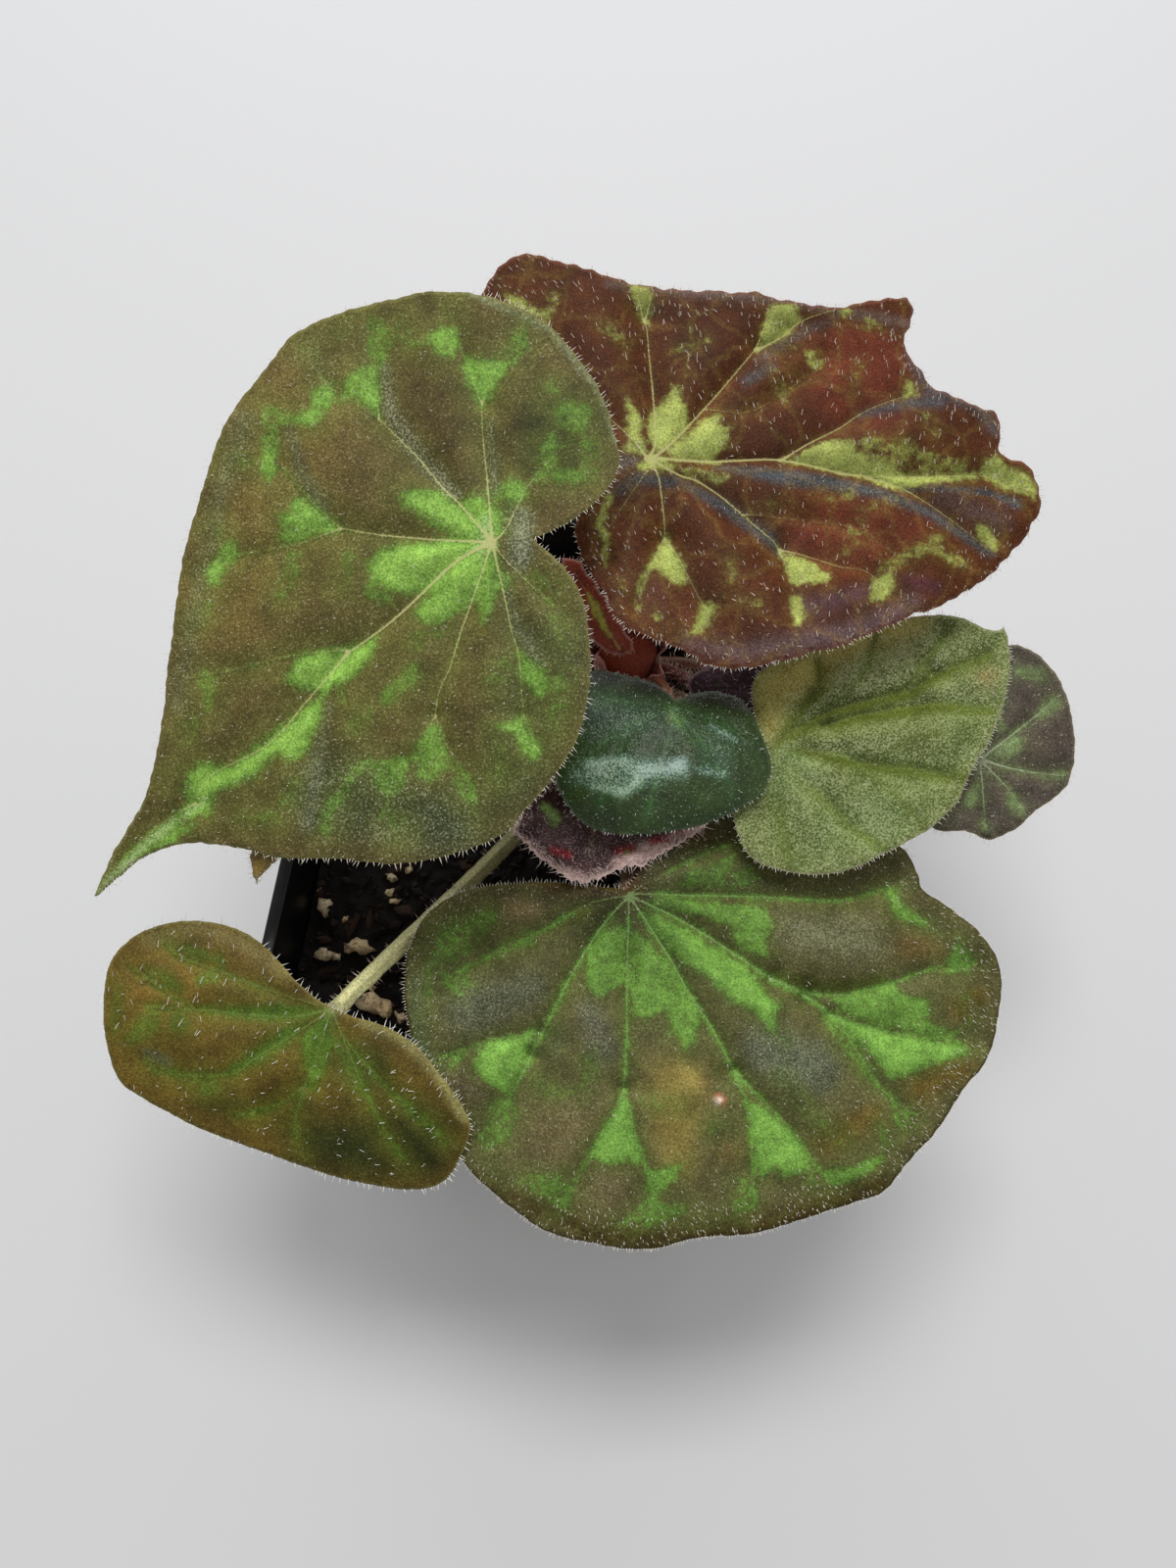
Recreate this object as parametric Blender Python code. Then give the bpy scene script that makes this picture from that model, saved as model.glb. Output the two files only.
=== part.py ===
"""A rhizomatous begonia with patterned leaves in a square black nursery pot.

Metres, +Z up. The origin is the centre of the pot's base, on the surface it stands on.
+Y is away from the viewer, +X to the right. The pot is turned a little about +Z.
"""
import math
import random

import bmesh
import bpy
from mathutils import Matrix, Vector, noise
from mathutils.geometry import interpolate_bezier

MM = 0.001

# Pot, a thin moulded square with round corners, a tapered body and a rim band
POT_TURN_DEG = -10.0
POT_HEIGHT = 88 * MM
POT_RIM_HALF = 46 * MM
POT_BASE_HALF = 34 * MM
POT_BAND_DEPTH = 9 * MM
POT_BAND_STEP = 0.9 * MM
POT_WALL = 1.2 * MM
POT_FLOOR = 2.0 * MM
POT_CORNER = 8 * MM
POT_EDGE_ROUND = 0.5 * MM
CORNER_STEPS = 5
DRAIN_RADIUS = 4 * MM
DRAIN_OFFSET = 20 * MM

# Soil, level a finger's width under the rim, with light grains in it
SOIL_LEVEL = 75 * MM
SOIL_ROUGHNESS = 1.1 * MM
SOIL_RINGS = 9
GRAIN_COUNT = 34
GRAIN_RADIUS = (1.0 * MM, 2.0 * MM)
GRAIN_SEED = 5

# Rhizome, the short thick stem that all leaf stalks grow from
CROWN = Vector((6.5 * MM, 22 * MM, SOIL_LEVEL))
RHIZOME_RADIUS = 5.0 * MM
RHIZOME_DEPTH = 8 * MM
RHIZOME_RISE = 15.5 * MM
RHIZOME_SIDES = 14
STIPULE_LENGTH = 11 * MM
STIPULE_WIDTH = 4.5 * MM
STIPULE_THICKNESS = 0.9 * MM
STIPULE_ROOT_BELOW_TOP = 4 * MM
STIPULE_BEARINGS_DEG = (44, 112, 218)

# What all leaves share
GAP = 0.3 * MM
BLADE_THICKNESS = 0.75 * MM
OUTLINE_STEPS = 2
STALK_BEVEL_RESOLUTION = 2
STALK_POINTS = 12
STALK_FOOT_RISE = 0.15
STALK_FOOT_GAP = 0.45 * MM

# The leaf outlines were read as pixels, column and row, in a view that looks down on the
# plant. These turn a pixel into a line of sight: the eye, its tilt and its focal length.
VIEW_CENTRE_PX = (600, 800)
VIEW_FOCAL_PX = 1733
VIEW_TILT_DEG = 76.0
VIEW_EYE = Vector((0, -65.3 * MM, 352 * MM))

# Each leaf: outline and heart in pixels of that view, the heart's height in mm, the slope
# towards +X and +Y, the bend (how fast it curves down, per metre) along X, Y and across,
# and a ripple of the margin (height in mm, waves round the leaf, phase in degrees).
LEAVES = {
    "leaf_01_blade": {
        "outline": [
            (543, 549), (575, 535), (610, 510), (631, 475), (625, 438), (612, 400), (585, 360),
            (550, 325), (505, 305), (450, 297), (400, 306), (345, 320), (300, 342), (270, 378),
            (238, 420), (218, 462), (203, 512), (190, 555), (180, 620), (173, 670), (168, 720),
            (158, 780), (145, 820), (128, 850), (110, 882), (97, 914), (124, 892), (150, 872),
            (190, 860), (240, 864), (290, 875), (345, 876), (400, 881), (460, 872), (510, 852),
            (540, 822), (568, 788), (590, 748), (601, 700), (600, 645), (592, 605), (570, 574),
            (547, 553)],
        "corners": [(97, 914), (543, 549), (547, 553)],
        "heart": (502, 553), "height": 140, "slope": (0.14, 0.12), "bend": (2.2, 2.0, 1.0),
        "ripple": (0.5, 5, 20), "rings": 4},
    "leaf_02_blade": {
        "outline": [
            (640, 466), (600, 450), (555, 420), (518, 372), (494, 325), (492, 296), (508, 273),
            (535, 258), (575, 267), (640, 285), (690, 294), (750, 297), (800, 304), (850, 312),
            (890, 307), (925, 304), (932, 320), (923, 350), (935, 370), (955, 394), (990, 410),
            (1020, 425), (1022, 462), (1050, 475), (1064, 508), (1052, 542), (1038, 560),
            (1005, 592), (960, 618), (920, 632), (860, 658), (785, 677), (735, 682), (695, 664),
            (640, 640), (615, 607), (592, 565), (585, 540), (600, 508), (640, 471)],
        "corners": [(925, 304), (923, 350), (640, 466), (640, 471)],
        "heart": (665, 468), "height": 124, "slope": (-0.05, -0.02), "bend": (3.0, 3.0, 0.0),
        "ripple": (1.0, 7, 60), "rings": 4},
    "leaf_03_blade": {
        "outline": [
            (690, 715), (668, 697), (640, 689), (605, 684), (582, 705), (571, 745), (566, 790),
            (576, 818), (600, 843), (640, 852), (700, 846), (745, 831), (778, 808), (787, 780),
            (776, 745), (760, 717), (735, 706), (708, 707)],
        "corners": [(690, 715)],
        "heart": (680, 765), "height": 111, "slope": (0.0, 0.0), "bend": (14.0, 26.0, 0.0),
        "ripple": (0.0, 1, 0), "rings": 4},
    "leaf_04_blade": {
        "outline": [
            (783, 766), (775, 752), (768, 722), (769, 695), (787, 677), (830, 655), (890, 637),
            (940, 628), (975, 628), (1010, 643), (1025, 638), (1031, 665), (1028, 705),
            (1014, 748), (990, 790), (974, 823), (945, 848), (905, 870), (860, 890), (810, 891),
            (770, 878), (753, 852), (748, 830), (752, 806), (766, 786)],
        "corners": [(1025, 638), (783, 766)],
        "heart": (815, 770), "height": 104.5, "slope": (0.0, 0.0), "bend": (3.0, 2.5, 0.0),
        "ripple": (0.4, 5, 0), "rings": 4},
    "leaf_05_blade": {
        "outline": [
            (1000, 773), (986, 752), (992, 715), (1006, 680), (1030, 658), (1055, 665),
            (1078, 688), (1092, 720), (1097, 760), (1090, 800), (1060, 825), (1038, 845),
            (1010, 857), (986, 848), (960, 848), (944, 836), (952, 812), (975, 790)],
        "corners": [(1000, 773)],
        "heart": (1030, 765), "height": 96, "slope": (-0.08, 0.0), "bend": (8.0, 8.0, 0.0),
        "ripple": (0.0, 1, 0), "rings": 3},
    "leaf_06_blade": {
        "outline": [
            (640, 908), (600, 903), (540, 900), (480, 907), (438, 930), (418, 965), (412, 1005),
            (418, 1055), (433, 1110), (457, 1163), (485, 1200), (520, 1230), (560, 1257),
            (610, 1270), (660, 1275), (710, 1264), (765, 1259), (810, 1247), (870, 1228),
            (903, 1215), (925, 1188), (955, 1155), (985, 1110), (1010, 1075), (1022, 1020),
            (1020, 985), (1005, 958), (975, 930), (943, 908), (937, 890), (920, 865),
            (880, 842), (820, 828), (760, 824), (705, 838), (667, 868), (650, 892)],
        "corners": [(640, 908)],
        "heart": (642, 935), "height": 99.5, "slope": (0.01, 0.03), "bend": (3.3, 3.0, 0.0),
        "ripple": (0.6, 7, 40), "rings": 4},
    "leaf_07_blade": {
        "outline": [
            (337, 1028), (322, 1018), (300, 998), (272, 967), (245, 949), (205, 940),
            (165, 943), (130, 960), (110, 988), (105, 1035), (110, 1070), (122, 1102),
            (148, 1122), (200, 1150), (260, 1173), (320, 1194), (370, 1208), (420, 1214),
            (452, 1206), (470, 1182), (480, 1152), (470, 1125), (448, 1095), (428, 1070),
            (398, 1049), (360, 1037)],
        "corners": [(337, 1028)],
        "heart": (325, 1075), "height": 98.5, "slope": (0.0, 0.16), "bend": (2.5, 11.0, 5.0),
        "ripple": (0.0, 1, 0), "rings": 4},
    "leaf_08_blade": {
        "outline": [
            (610, 783), (575, 788), (545, 806), (524, 845), (535, 858), (553, 878), (578, 896),
            (602, 901), (630, 889), (663, 881), (700, 858), (722, 842), (712, 815), (680, 795),
            (645, 785)],
        "corners": [(610, 783)],
        "heart": (618, 838), "height": 100, "slope": (0.0, -0.12), "bend": (-6.0, -9.0, 0.0),
        "ripple": (0.5, 6, 0), "rings": 3},
    "leaf_09_blade": {
        "outline": [
            (572, 570), (592, 572), (612, 600), (632, 632), (648, 662), (628, 670), (604, 655),
            (592, 622), (578, 596)],
        "corners": [(572, 570), (628, 670)],
        "heart": (608, 625), "height": 101, "slope": (-0.3, 0.5), "bend": (20.0, 0.0, 0.0),
        "ripple": (0.0, 1, 0), "rings": 2},
    "leaf_10_blade": {
        "outline": [
            (702, 694), (720, 681), (750, 674), (785, 676), (800, 694), (788, 716), (760, 726),
            (728, 722), (708, 712)],
        "corners": [],
        "heart": (750, 700), "height": 97, "slope": (0.0, 0.0), "bend": (6.0, 6.0, 0.0),
        "ripple": (0.0, 1, 0), "rings": 2},
    "leaf_11_blade": {
        "outline": [
            (262, 902), (255, 880), (262, 845), (292, 808), (335, 795), (360, 815), (352, 848),
            (318, 868), (280, 880)],
        "corners": [(262, 902)],
        "heart": (315, 835), "height": 114, "slope": (0.1, 0.1), "bend": (4.0, 4.0, 0.0),
        "ripple": (0.0, 1, 0), "rings": 2},
}

# Each stalk: the blade it carries, the pixel where it meets it, where it leaves the
# rhizome (bearing from +X in degrees, height over the soil in mm), its radius in mm at the
# foot and at the top, how far its two ends run straight on (mm), and how level it arrives
# (0 square to the blade, 1 level with it).
STALKS = {
    "leaf_01_stalk": {"joint": (502, 556), "foot": (180, 10.5), "radius": (1.9, 1.5),
                      "reach": (14, 22), "level": 0.1},
    "leaf_02_stalk": {"joint": (663, 470), "foot": (82, 9), "radius": (1.9, 1.5),
                      "reach": (14, 18), "level": 0.1},
    "leaf_03_stalk": {"joint": (690, 720), "foot": (-45, 11), "radius": (1.7, 1.4),
                      "reach": (5, 9), "level": 0.5},
    "leaf_04_stalk": {"joint": (790, 764), "foot": (-28, 4.5), "radius": (1.6, 1.3),
                      "reach": (8, 10), "level": 0.4},
    "leaf_05_stalk": {"joint": (1004, 774), "foot": (3, 7), "radius": (1.6, 1.2),
                      "reach": (12, 18), "level": 0.8},
    "leaf_06_stalk": {"joint": (642, 914), "foot": (-82, 8), "radius": (1.8, 1.5),
                      "reach": (12, 8), "level": 0.5},
    "leaf_07_stalk": {"joint": (341, 1029), "foot": (-114, 3.5), "radius": (1.8, 1.5),
                      "reach": (24, 16), "level": 0.75},
    "leaf_08_stalk": {"joint": (618, 812), "foot": (-142, 10.5), "radius": (1.3, 1.1),
                      "reach": (6, 6), "level": 0.4},
    "leaf_09_stalk": {"joint": (612, 642), "foot": (140, 8), "radius": (1.1, 0.9),
                      "reach": (3, 3), "level": 0.4},
    "leaf_10_stalk": {"joint": (722, 700), "foot": (-14, 11), "radius": (1.1, 0.9),
                      "reach": (3, 4), "level": 0.4},
    "leaf_11_stalk": {"joint": (352, 830), "foot": (-162, 7), "radius": (1.1, 0.9),
                      "reach": (14, 14), "level": 0.5},
}


def clear_scene():
    for item in list(bpy.data.objects):
        bpy.data.objects.remove(item, do_unlink=True)


def make_material(name, colour, roughness):
    material = bpy.data.materials.new(name)
    material.use_nodes = True
    shader = material.node_tree.nodes["Principled BSDF"]
    shader.inputs["Base Color"].default_value = (*colour, 1.0)
    shader.inputs["Roughness"].default_value = roughness
    shader.inputs["Metallic"].default_value = 0.0
    return material


def add_object(name, bm, material):
    bmesh.ops.recalc_face_normals(bm, faces=bm.faces)
    mesh = bpy.data.meshes.new(name)
    bm.to_mesh(mesh)
    bm.free()
    mesh.materials.append(material)
    item = bpy.data.objects.new(name, mesh)
    bpy.context.scene.collection.objects.link(item)
    return item


def apply_boolean(target, cutter, operation, solver="EXACT"):
    """Joins or cuts target with cutter, keeps the result on target and removes cutter."""
    boolean = target.modifiers.new("boolean", "BOOLEAN")
    boolean.object = cutter
    boolean.operation = operation
    boolean.solver = solver
    graph = bpy.context.evaluated_depsgraph_get()
    mesh = bpy.data.meshes.new_from_object(target.evaluated_get(graph))
    target.modifiers.clear()
    target.data = mesh
    bpy.data.objects.remove(cutter, do_unlink=True)


def square_loop(bm, half, corner, z):
    """One level of a square with round corners, as new vertices in order."""
    loop = []
    inner = half - corner
    for quarter in range(4):
        middle = math.radians(90 * quarter + 45)
        centre = Vector((math.copysign(inner, math.cos(middle)),
                         math.copysign(inner, math.sin(middle)), z))
        for step in range(CORNER_STEPS + 1):
            angle = math.radians(90 * quarter + 90 * step / CORNER_STEPS)
            offset = Vector((math.cos(angle), math.sin(angle), 0)) * corner
            loop.append(bm.verts.new(centre + offset))
    return loop


def bridge(bm, lower, upper):
    count = len(lower)
    for index in range(count):
        following = (index + 1) % count
        bm.faces.new((lower[index], lower[following], upper[following], upper[index]))


def body_half(z):
    """Half-width of the pot's tapered body outside, at a height."""
    top = POT_RIM_HALF - POT_BAND_STEP
    return POT_BASE_HALF + (top - POT_BASE_HALF) * z / POT_HEIGHT


def make_pot(material):
    bm = bmesh.new()
    band_bottom = POT_HEIGHT - POT_BAND_DEPTH
    levels = [
        (POT_BASE_HALF - POT_EDGE_ROUND, 0),
        (body_half(POT_EDGE_ROUND), POT_EDGE_ROUND),
        (body_half(band_bottom), band_bottom),
        (body_half(band_bottom) + POT_BAND_STEP, band_bottom + POT_EDGE_ROUND),
        (POT_RIM_HALF, POT_HEIGHT - POT_EDGE_ROUND),
        (POT_RIM_HALF - POT_EDGE_ROUND, POT_HEIGHT),
        (POT_RIM_HALF - POT_BAND_STEP - POT_WALL + POT_EDGE_ROUND, POT_HEIGHT),
        (body_half(POT_HEIGHT) - POT_WALL, POT_HEIGHT - POT_EDGE_ROUND),
        (body_half(POT_FLOOR) - POT_WALL, POT_FLOOR),
    ]
    loops = []
    for half, z in levels:
        inset = POT_RIM_HALF - half
        loops.append(square_loop(bm, half, POT_CORNER - 0.25 * inset, z))
    for lower, upper in zip(loops, loops[1:]):
        bridge(bm, lower, upper)
    bm.faces.new(list(reversed(loops[0])))
    bm.faces.new(loops[-1])
    pot = add_object("pot", bm, material)
    for quarter in range(4):
        angle = math.radians(90 * quarter)
        place = Vector((math.cos(angle), math.sin(angle), 0)) * DRAIN_OFFSET
        cut_round_hole(pot, place + Vector((0, 0, POT_FLOOR / 2)), DRAIN_RADIUS, 3 * POT_FLOOR)
    turn_with_pot(pot)
    return pot


def cut_round_hole(target, centre, radius, depth):
    bm = bmesh.new()
    bmesh.ops.create_cone(bm, cap_ends=True, segments=16, radius1=radius, radius2=radius,
                          depth=depth, matrix=Matrix.Translation(centre))
    apply_boolean(target, add_object("cutter", bm, target.data.materials[0]), "DIFFERENCE")


def turn_with_pot(item):
    item.data.transform(Matrix.Rotation(math.radians(POT_TURN_DEG), 4, "Z"))


def soil_height(x, y):
    spot = Vector((x, y, 0)) / (9 * MM)
    return SOIL_LEVEL + SOIL_ROUGHNESS * noise.noise(spot)


def make_soil(material):
    bm = bmesh.new()
    bottom = POT_FLOOR + GAP
    loops = []
    for z in (bottom, SOIL_LEVEL):
        half = body_half(z) - POT_WALL - GAP
        loops.append(square_loop(bm, half, POT_CORNER - 0.25 * (POT_RIM_HALF - half), z))
    top_half = body_half(SOIL_LEVEL) - POT_WALL - GAP
    for ring in range(1, SOIL_RINGS):
        share = 1 - ring / SOIL_RINGS
        loops.append(square_loop(bm, top_half * share, POT_CORNER * share, SOIL_LEVEL))
    for lower, upper in zip(loops, loops[1:]):
        bridge(bm, lower, upper)
    middle = bm.verts.new((0, 0, SOIL_LEVEL))
    last = loops[-1]
    for index, corner in enumerate(last):
        bm.faces.new((corner, last[(index + 1) % len(last)], middle))
    bm.faces.new(list(reversed(loops[0])))
    for vert in [v for loop in loops[2:] for v in loop] + [middle]:
        vert.co.z = soil_height(vert.co.x, vert.co.y)
    bmesh.ops.triangulate(bm, faces=bm.faces)
    soil = add_object("soil", bm, material)
    turn_with_pot(soil)
    add_grains(soil, material)
    hole_radius = RHIZOME_RADIUS + GAP
    hole_depth = 2 * (RHIZOME_DEPTH + GAP)
    cut_round_hole(soil, CROWN, hole_radius, hole_depth)
    return soil


def add_grains(soil, material):
    """Light grains, sunk to about half in the soil's surface and joined to it."""
    draw = random.Random(GRAIN_SEED)
    room = body_half(SOIL_LEVEL) - POT_WALL - 3.5 * MM
    turn = Matrix.Rotation(math.radians(POT_TURN_DEG), 4, "Z")
    clear_radius = RHIZOME_RADIUS + 3 * MM
    places = []
    while len(places) < GRAIN_COUNT:
        place = turn @ Vector((draw.uniform(-room, room), draw.uniform(-room, room), 0))
        spread = min([(place - other).length for other in places], default=room)
        if (place - CROWN.xy.to_3d()).length > clear_radius and spread > 5 * MM:
            places.append(place)
    for place in places:
        radius = draw.uniform(*GRAIN_RADIUS)
        place.z = soil_height(place.x, place.y) + 0.15 * radius
        squash = Matrix.Diagonal((1.0, draw.uniform(0.7, 1.0), draw.uniform(0.6, 0.8), 1.0))
        spin = Matrix.Rotation(draw.uniform(0, math.pi), 4, "Z")
        bm = bmesh.new()
        bmesh.ops.create_icosphere(bm, subdivisions=1, radius=radius,
                                   matrix=Matrix.Translation(place) @ spin @ squash)
        apply_boolean(soil, add_object("grain", bm, material), "UNION")


def make_rhizome(material):
    """A knobbly upright stub that stands in the soil's hole, with papery scales round it."""
    bm = bmesh.new()
    levels = 9
    rings = []
    for level in range(levels):
        share = level / (levels - 1)
        z = CROWN.z - RHIZOME_DEPTH + share * (RHIZOME_DEPTH + RHIZOME_RISE)
        rounding = math.sqrt(max(0.05, 1 - max(0.0, (share - 0.8) / 0.2) ** 2))
        ring = []
        for side in range(RHIZOME_SIDES):
            angle = 2 * math.pi * side / RHIZOME_SIDES
            knob = 0.94 + 0.06 * math.sin(3 * angle + 9 * share)
            offset = RHIZOME_RADIUS * knob * rounding
            ring.append(bm.verts.new((CROWN.x + offset * math.cos(angle),
                                      CROWN.y + offset * math.sin(angle), z)))
        rings.append(ring)
    for lower, upper in zip(rings, rings[1:]):
        bridge(bm, lower, upper)
    bm.faces.new(list(reversed(rings[0])))
    bm.faces.new(rings[-1])
    rhizome = add_object("rhizome", bm, material)
    for bearing_deg in STIPULE_BEARINGS_DEG:
        add_stipule(rhizome, math.radians(bearing_deg), material)
    return rhizome


def add_stipule(rhizome, bearing, material):
    """A pointed papery scale that leans out from the rhizome's top and is joined to it."""
    out = Vector((math.cos(bearing), math.sin(bearing), 0))
    side = Vector((-out.y, out.x, 0))
    root = CROWN + Vector((0, 0, RHIZOME_RISE - STIPULE_ROOT_BELOW_TOP)) + out * (RHIZOME_RADIUS - 2.5 * MM)
    rise = (out * 0.45 + Vector((0, 0, 1))).normalized()
    front = rise.cross(side)
    bm = bmesh.new()
    loops = []
    for share, width in ((0, 0.9), (0.4, 1.0), (0.75, 0.6), (1.0, 0.12)):
        centre = root + rise * STIPULE_LENGTH * share
        half = STIPULE_WIDTH / 2 * width
        corners = [centre + side * sx * half + front * sy * STIPULE_THICKNESS / 2
                   for sx, sy in ((-1, -1), (1, -1), (1, 1), (-1, 1))]
        loops.append([bm.verts.new(corner) for corner in corners])
    for lower, upper in zip(loops, loops[1:]):
        bridge(bm, lower, upper)
    bm.faces.new(list(reversed(loops[0])))
    bm.faces.new(loops[-1])
    apply_boolean(rhizome, add_object("scale", bm, material), "UNION")


def sight_line(pixel):
    tilt = math.radians(VIEW_TILT_DEG)
    back = Vector((0, -math.cos(tilt), math.sin(tilt)))
    right = Vector((1, 0, 0))
    up = back.cross(right)
    column = (pixel[0] - VIEW_CENTRE_PX[0]) / VIEW_FOCAL_PX
    row = (pixel[1] - VIEW_CENTRE_PX[1]) / VIEW_FOCAL_PX
    return right * column - up * row - back


def seen_at(pixel, height):
    """The point that a pixel shows, if it lies at this height."""
    line = sight_line(pixel)
    return VIEW_EYE + line * ((height - VIEW_EYE.z) / line.z)


def blade_height(leaf, place):
    """The height of a leaf's upper face over a place in plan: a bent, rippled sheet."""
    heart = seen_at(leaf["heart"], leaf["height"] * MM)
    across = place.x - heart.x
    along = place.y - heart.y
    slope_x, slope_y = leaf["slope"]
    bend_x, bend_y, bend_cross = leaf["bend"]
    height = heart.z + slope_x * across + slope_y * along
    height -= bend_x * across ** 2 + bend_y * along ** 2 + bend_cross * across * along
    size, waves, phase_deg = leaf["ripple"]
    share = min(1.0, math.hypot(across, along) / (30 * MM))
    bearing = math.atan2(along, across)
    height += size * MM * share ** 2 * math.sin(waves * bearing + math.radians(phase_deg))
    return height


def on_blade(leaf, pixel):
    """The point of a leaf's upper face that a pixel shows."""
    point = seen_at(pixel, leaf["height"] * MM)
    for _ in range(20):
        point = seen_at(pixel, blade_height(leaf, point))
    return point


def blade_normal(leaf, place):
    step = 0.5 * MM
    rise_x = (blade_height(leaf, place + Vector((step, 0, 0)))
              - blade_height(leaf, place - Vector((step, 0, 0))))
    rise_y = (blade_height(leaf, place + Vector((0, step, 0)))
              - blade_height(leaf, place - Vector((0, step, 0))))
    return Vector((-rise_x, -rise_y, 2 * step)).normalized()


def smooth_outline(points, corners, steps):
    """A closed smooth curve through points, sharp at corners, with steps to each span."""
    curve = []
    count = len(points)
    for index in range(count):
        before, start, end, after = (Vector(points[(index + k) % count]) for k in (-1, 0, 1, 2))
        leave = Vector((0, 0)) if points[index] in corners else (end - before) / 2
        arrive = Vector((0, 0)) if points[(index + 1) % count] in corners else (after - start) / 2
        for step in range(steps):
            t = step / steps
            curve.append(start * (2 * t ** 3 - 3 * t ** 2 + 1) + leave * (t ** 3 - 2 * t ** 2 + t)
                         + end * (3 * t ** 2 - 2 * t ** 3) + arrive * (t ** 3 - t ** 2))
    return curve


def make_blade(name, leaf, material):
    """A thin sheet: rings of points from the heart to the outline, on two faces."""
    outline = smooth_outline(leaf["outline"], leaf["corners"], OUTLINE_STEPS)
    edge = [on_blade(leaf, pixel) for pixel in outline]
    heart = on_blade(leaf, leaf["heart"])
    bm = bmesh.new()
    faces = []
    for depth in (0, BLADE_THICKNESS):
        rings = []
        for ring in range(leaf["rings"] + 1):
            share = ring / leaf["rings"]
            places = [heart] if ring == 0 else [heart.lerp(point, share) for point in edge]
            verts = []
            for place in places:
                upper = Vector((place.x, place.y, blade_height(leaf, place)))
                verts.append(bm.verts.new(upper - blade_normal(leaf, place) * depth))
            rings.append(verts)
        faces.append(rings)
    count = len(edge)
    for index in range(count):
        following = (index + 1) % count
        for rings in faces:
            centre = rings[0][0]
            bm.faces.new((centre, rings[1][index], rings[1][following]))
            for inner, outer in zip(rings[1:], rings[2:]):
                bm.faces.new((inner[index], outer[index], outer[following]))
                bm.faces.new((inner[index], outer[following], inner[following]))
        top, bottom = faces[0][-1], faces[1][-1]
        bm.faces.new((top[index], bottom[index], bottom[following]))
        bm.faces.new((top[index], bottom[following], top[following]))
    return add_object(name, bm, material)


def make_stalk(name, stalk, leaf, material):
    """A tapered round stalk from the rhizome's side to just under its blade."""
    bearing_deg, foot_height = stalk["foot"]
    bearing = math.radians(bearing_deg)
    out = Vector((math.cos(bearing), math.sin(bearing), 0))
    foot_radius, top_radius = (radius * MM for radius in stalk["radius"])
    foot = CROWN + out * (RHIZOME_RADIUS + STALK_FOOT_GAP) + Vector((0, 0, foot_height * MM))
    joint = on_blade(leaf, stalk["joint"])
    normal = blade_normal(leaf, joint)
    level_way = Vector((foot.x - joint.x, foot.y - joint.y, 0)).normalized()
    away = (-normal).lerp(level_way, stalk["level"]).normalized()
    tilt = math.sqrt(max(0.0, 1 - away.dot(normal) ** 2))
    top = joint - normal * (BLADE_THICKNESS + GAP + top_radius * tilt)
    foot_reach, top_reach = (reach * MM for reach in stalk["reach"])
    foot_way = (out + Vector((0, 0, STALK_FOOT_RISE))).normalized()
    path = interpolate_bezier(foot, foot + foot_way * foot_reach, top + away * top_reach, top,
                              STALK_POINTS)
    curve = bpy.data.curves.new(name, "CURVE")
    curve.dimensions = "3D"
    curve.bevel_depth = 1.0
    curve.bevel_resolution = STALK_BEVEL_RESOLUTION
    curve.use_fill_caps = True
    spline = curve.splines.new("POLY")
    spline.points.add(len(path) - 1)
    for index, point in enumerate(path):
        share = index / (len(path) - 1)
        spline.points[index].co = (*point, 1.0)
        spline.points[index].radius = foot_radius + (top_radius - foot_radius) * share
    curve.materials.append(material)
    item = bpy.data.objects.new(name, curve)
    bpy.context.scene.collection.objects.link(item)
    return item


def make_leaves():
    blade_colours = {
        "leaf_01_blade": (0.12, 0.13, 0.03), "leaf_02_blade": (0.12, 0.04, 0.02),
        "leaf_03_blade": (0.02, 0.08, 0.03), "leaf_04_blade": (0.14, 0.17, 0.06),
        "leaf_05_blade": (0.10, 0.11, 0.05), "leaf_06_blade": (0.08, 0.14, 0.03),
        "leaf_07_blade": (0.12, 0.11, 0.02), "leaf_08_blade": (0.16, 0.08, 0.09),
        "leaf_09_blade": (0.18, 0.06, 0.03), "leaf_10_blade": (0.05, 0.03, 0.04),
        "leaf_11_blade": (0.13, 0.10, 0.04)}
    stalk_material = make_material("leaf_stalk", (0.30, 0.24, 0.10), 0.5)
    for name, leaf in LEAVES.items():
        blade_material = make_material(name, blade_colours[name], 0.45)
        make_blade(name, leaf, blade_material)
        stalk_name = name.replace("blade", "stalk")
        make_stalk(stalk_name, STALKS[stalk_name], leaf, stalk_material)


clear_scene()
make_pot(make_material("pot_plastic", (0.006, 0.006, 0.008), 0.4))
make_soil(make_material("potting_soil", (0.02, 0.014, 0.01), 0.95))
make_rhizome(make_material("rhizome_skin", (0.25, 0.08, 0.04), 0.6))
make_leaves()
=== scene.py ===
"""The looks of a potted begonia: its pot, soil, stem, stalks, patterned blades and hairs.

Metres, +Z up, +Y away from the viewer. The sections follow the plant as it is put together.
"""
import math
import random

import bmesh
import bpy
import numpy as np
from mathutils import Euler, Matrix, Vector, noise
from mathutils.geometry import delaunay_2d_cdt, interpolate_bezier


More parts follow.
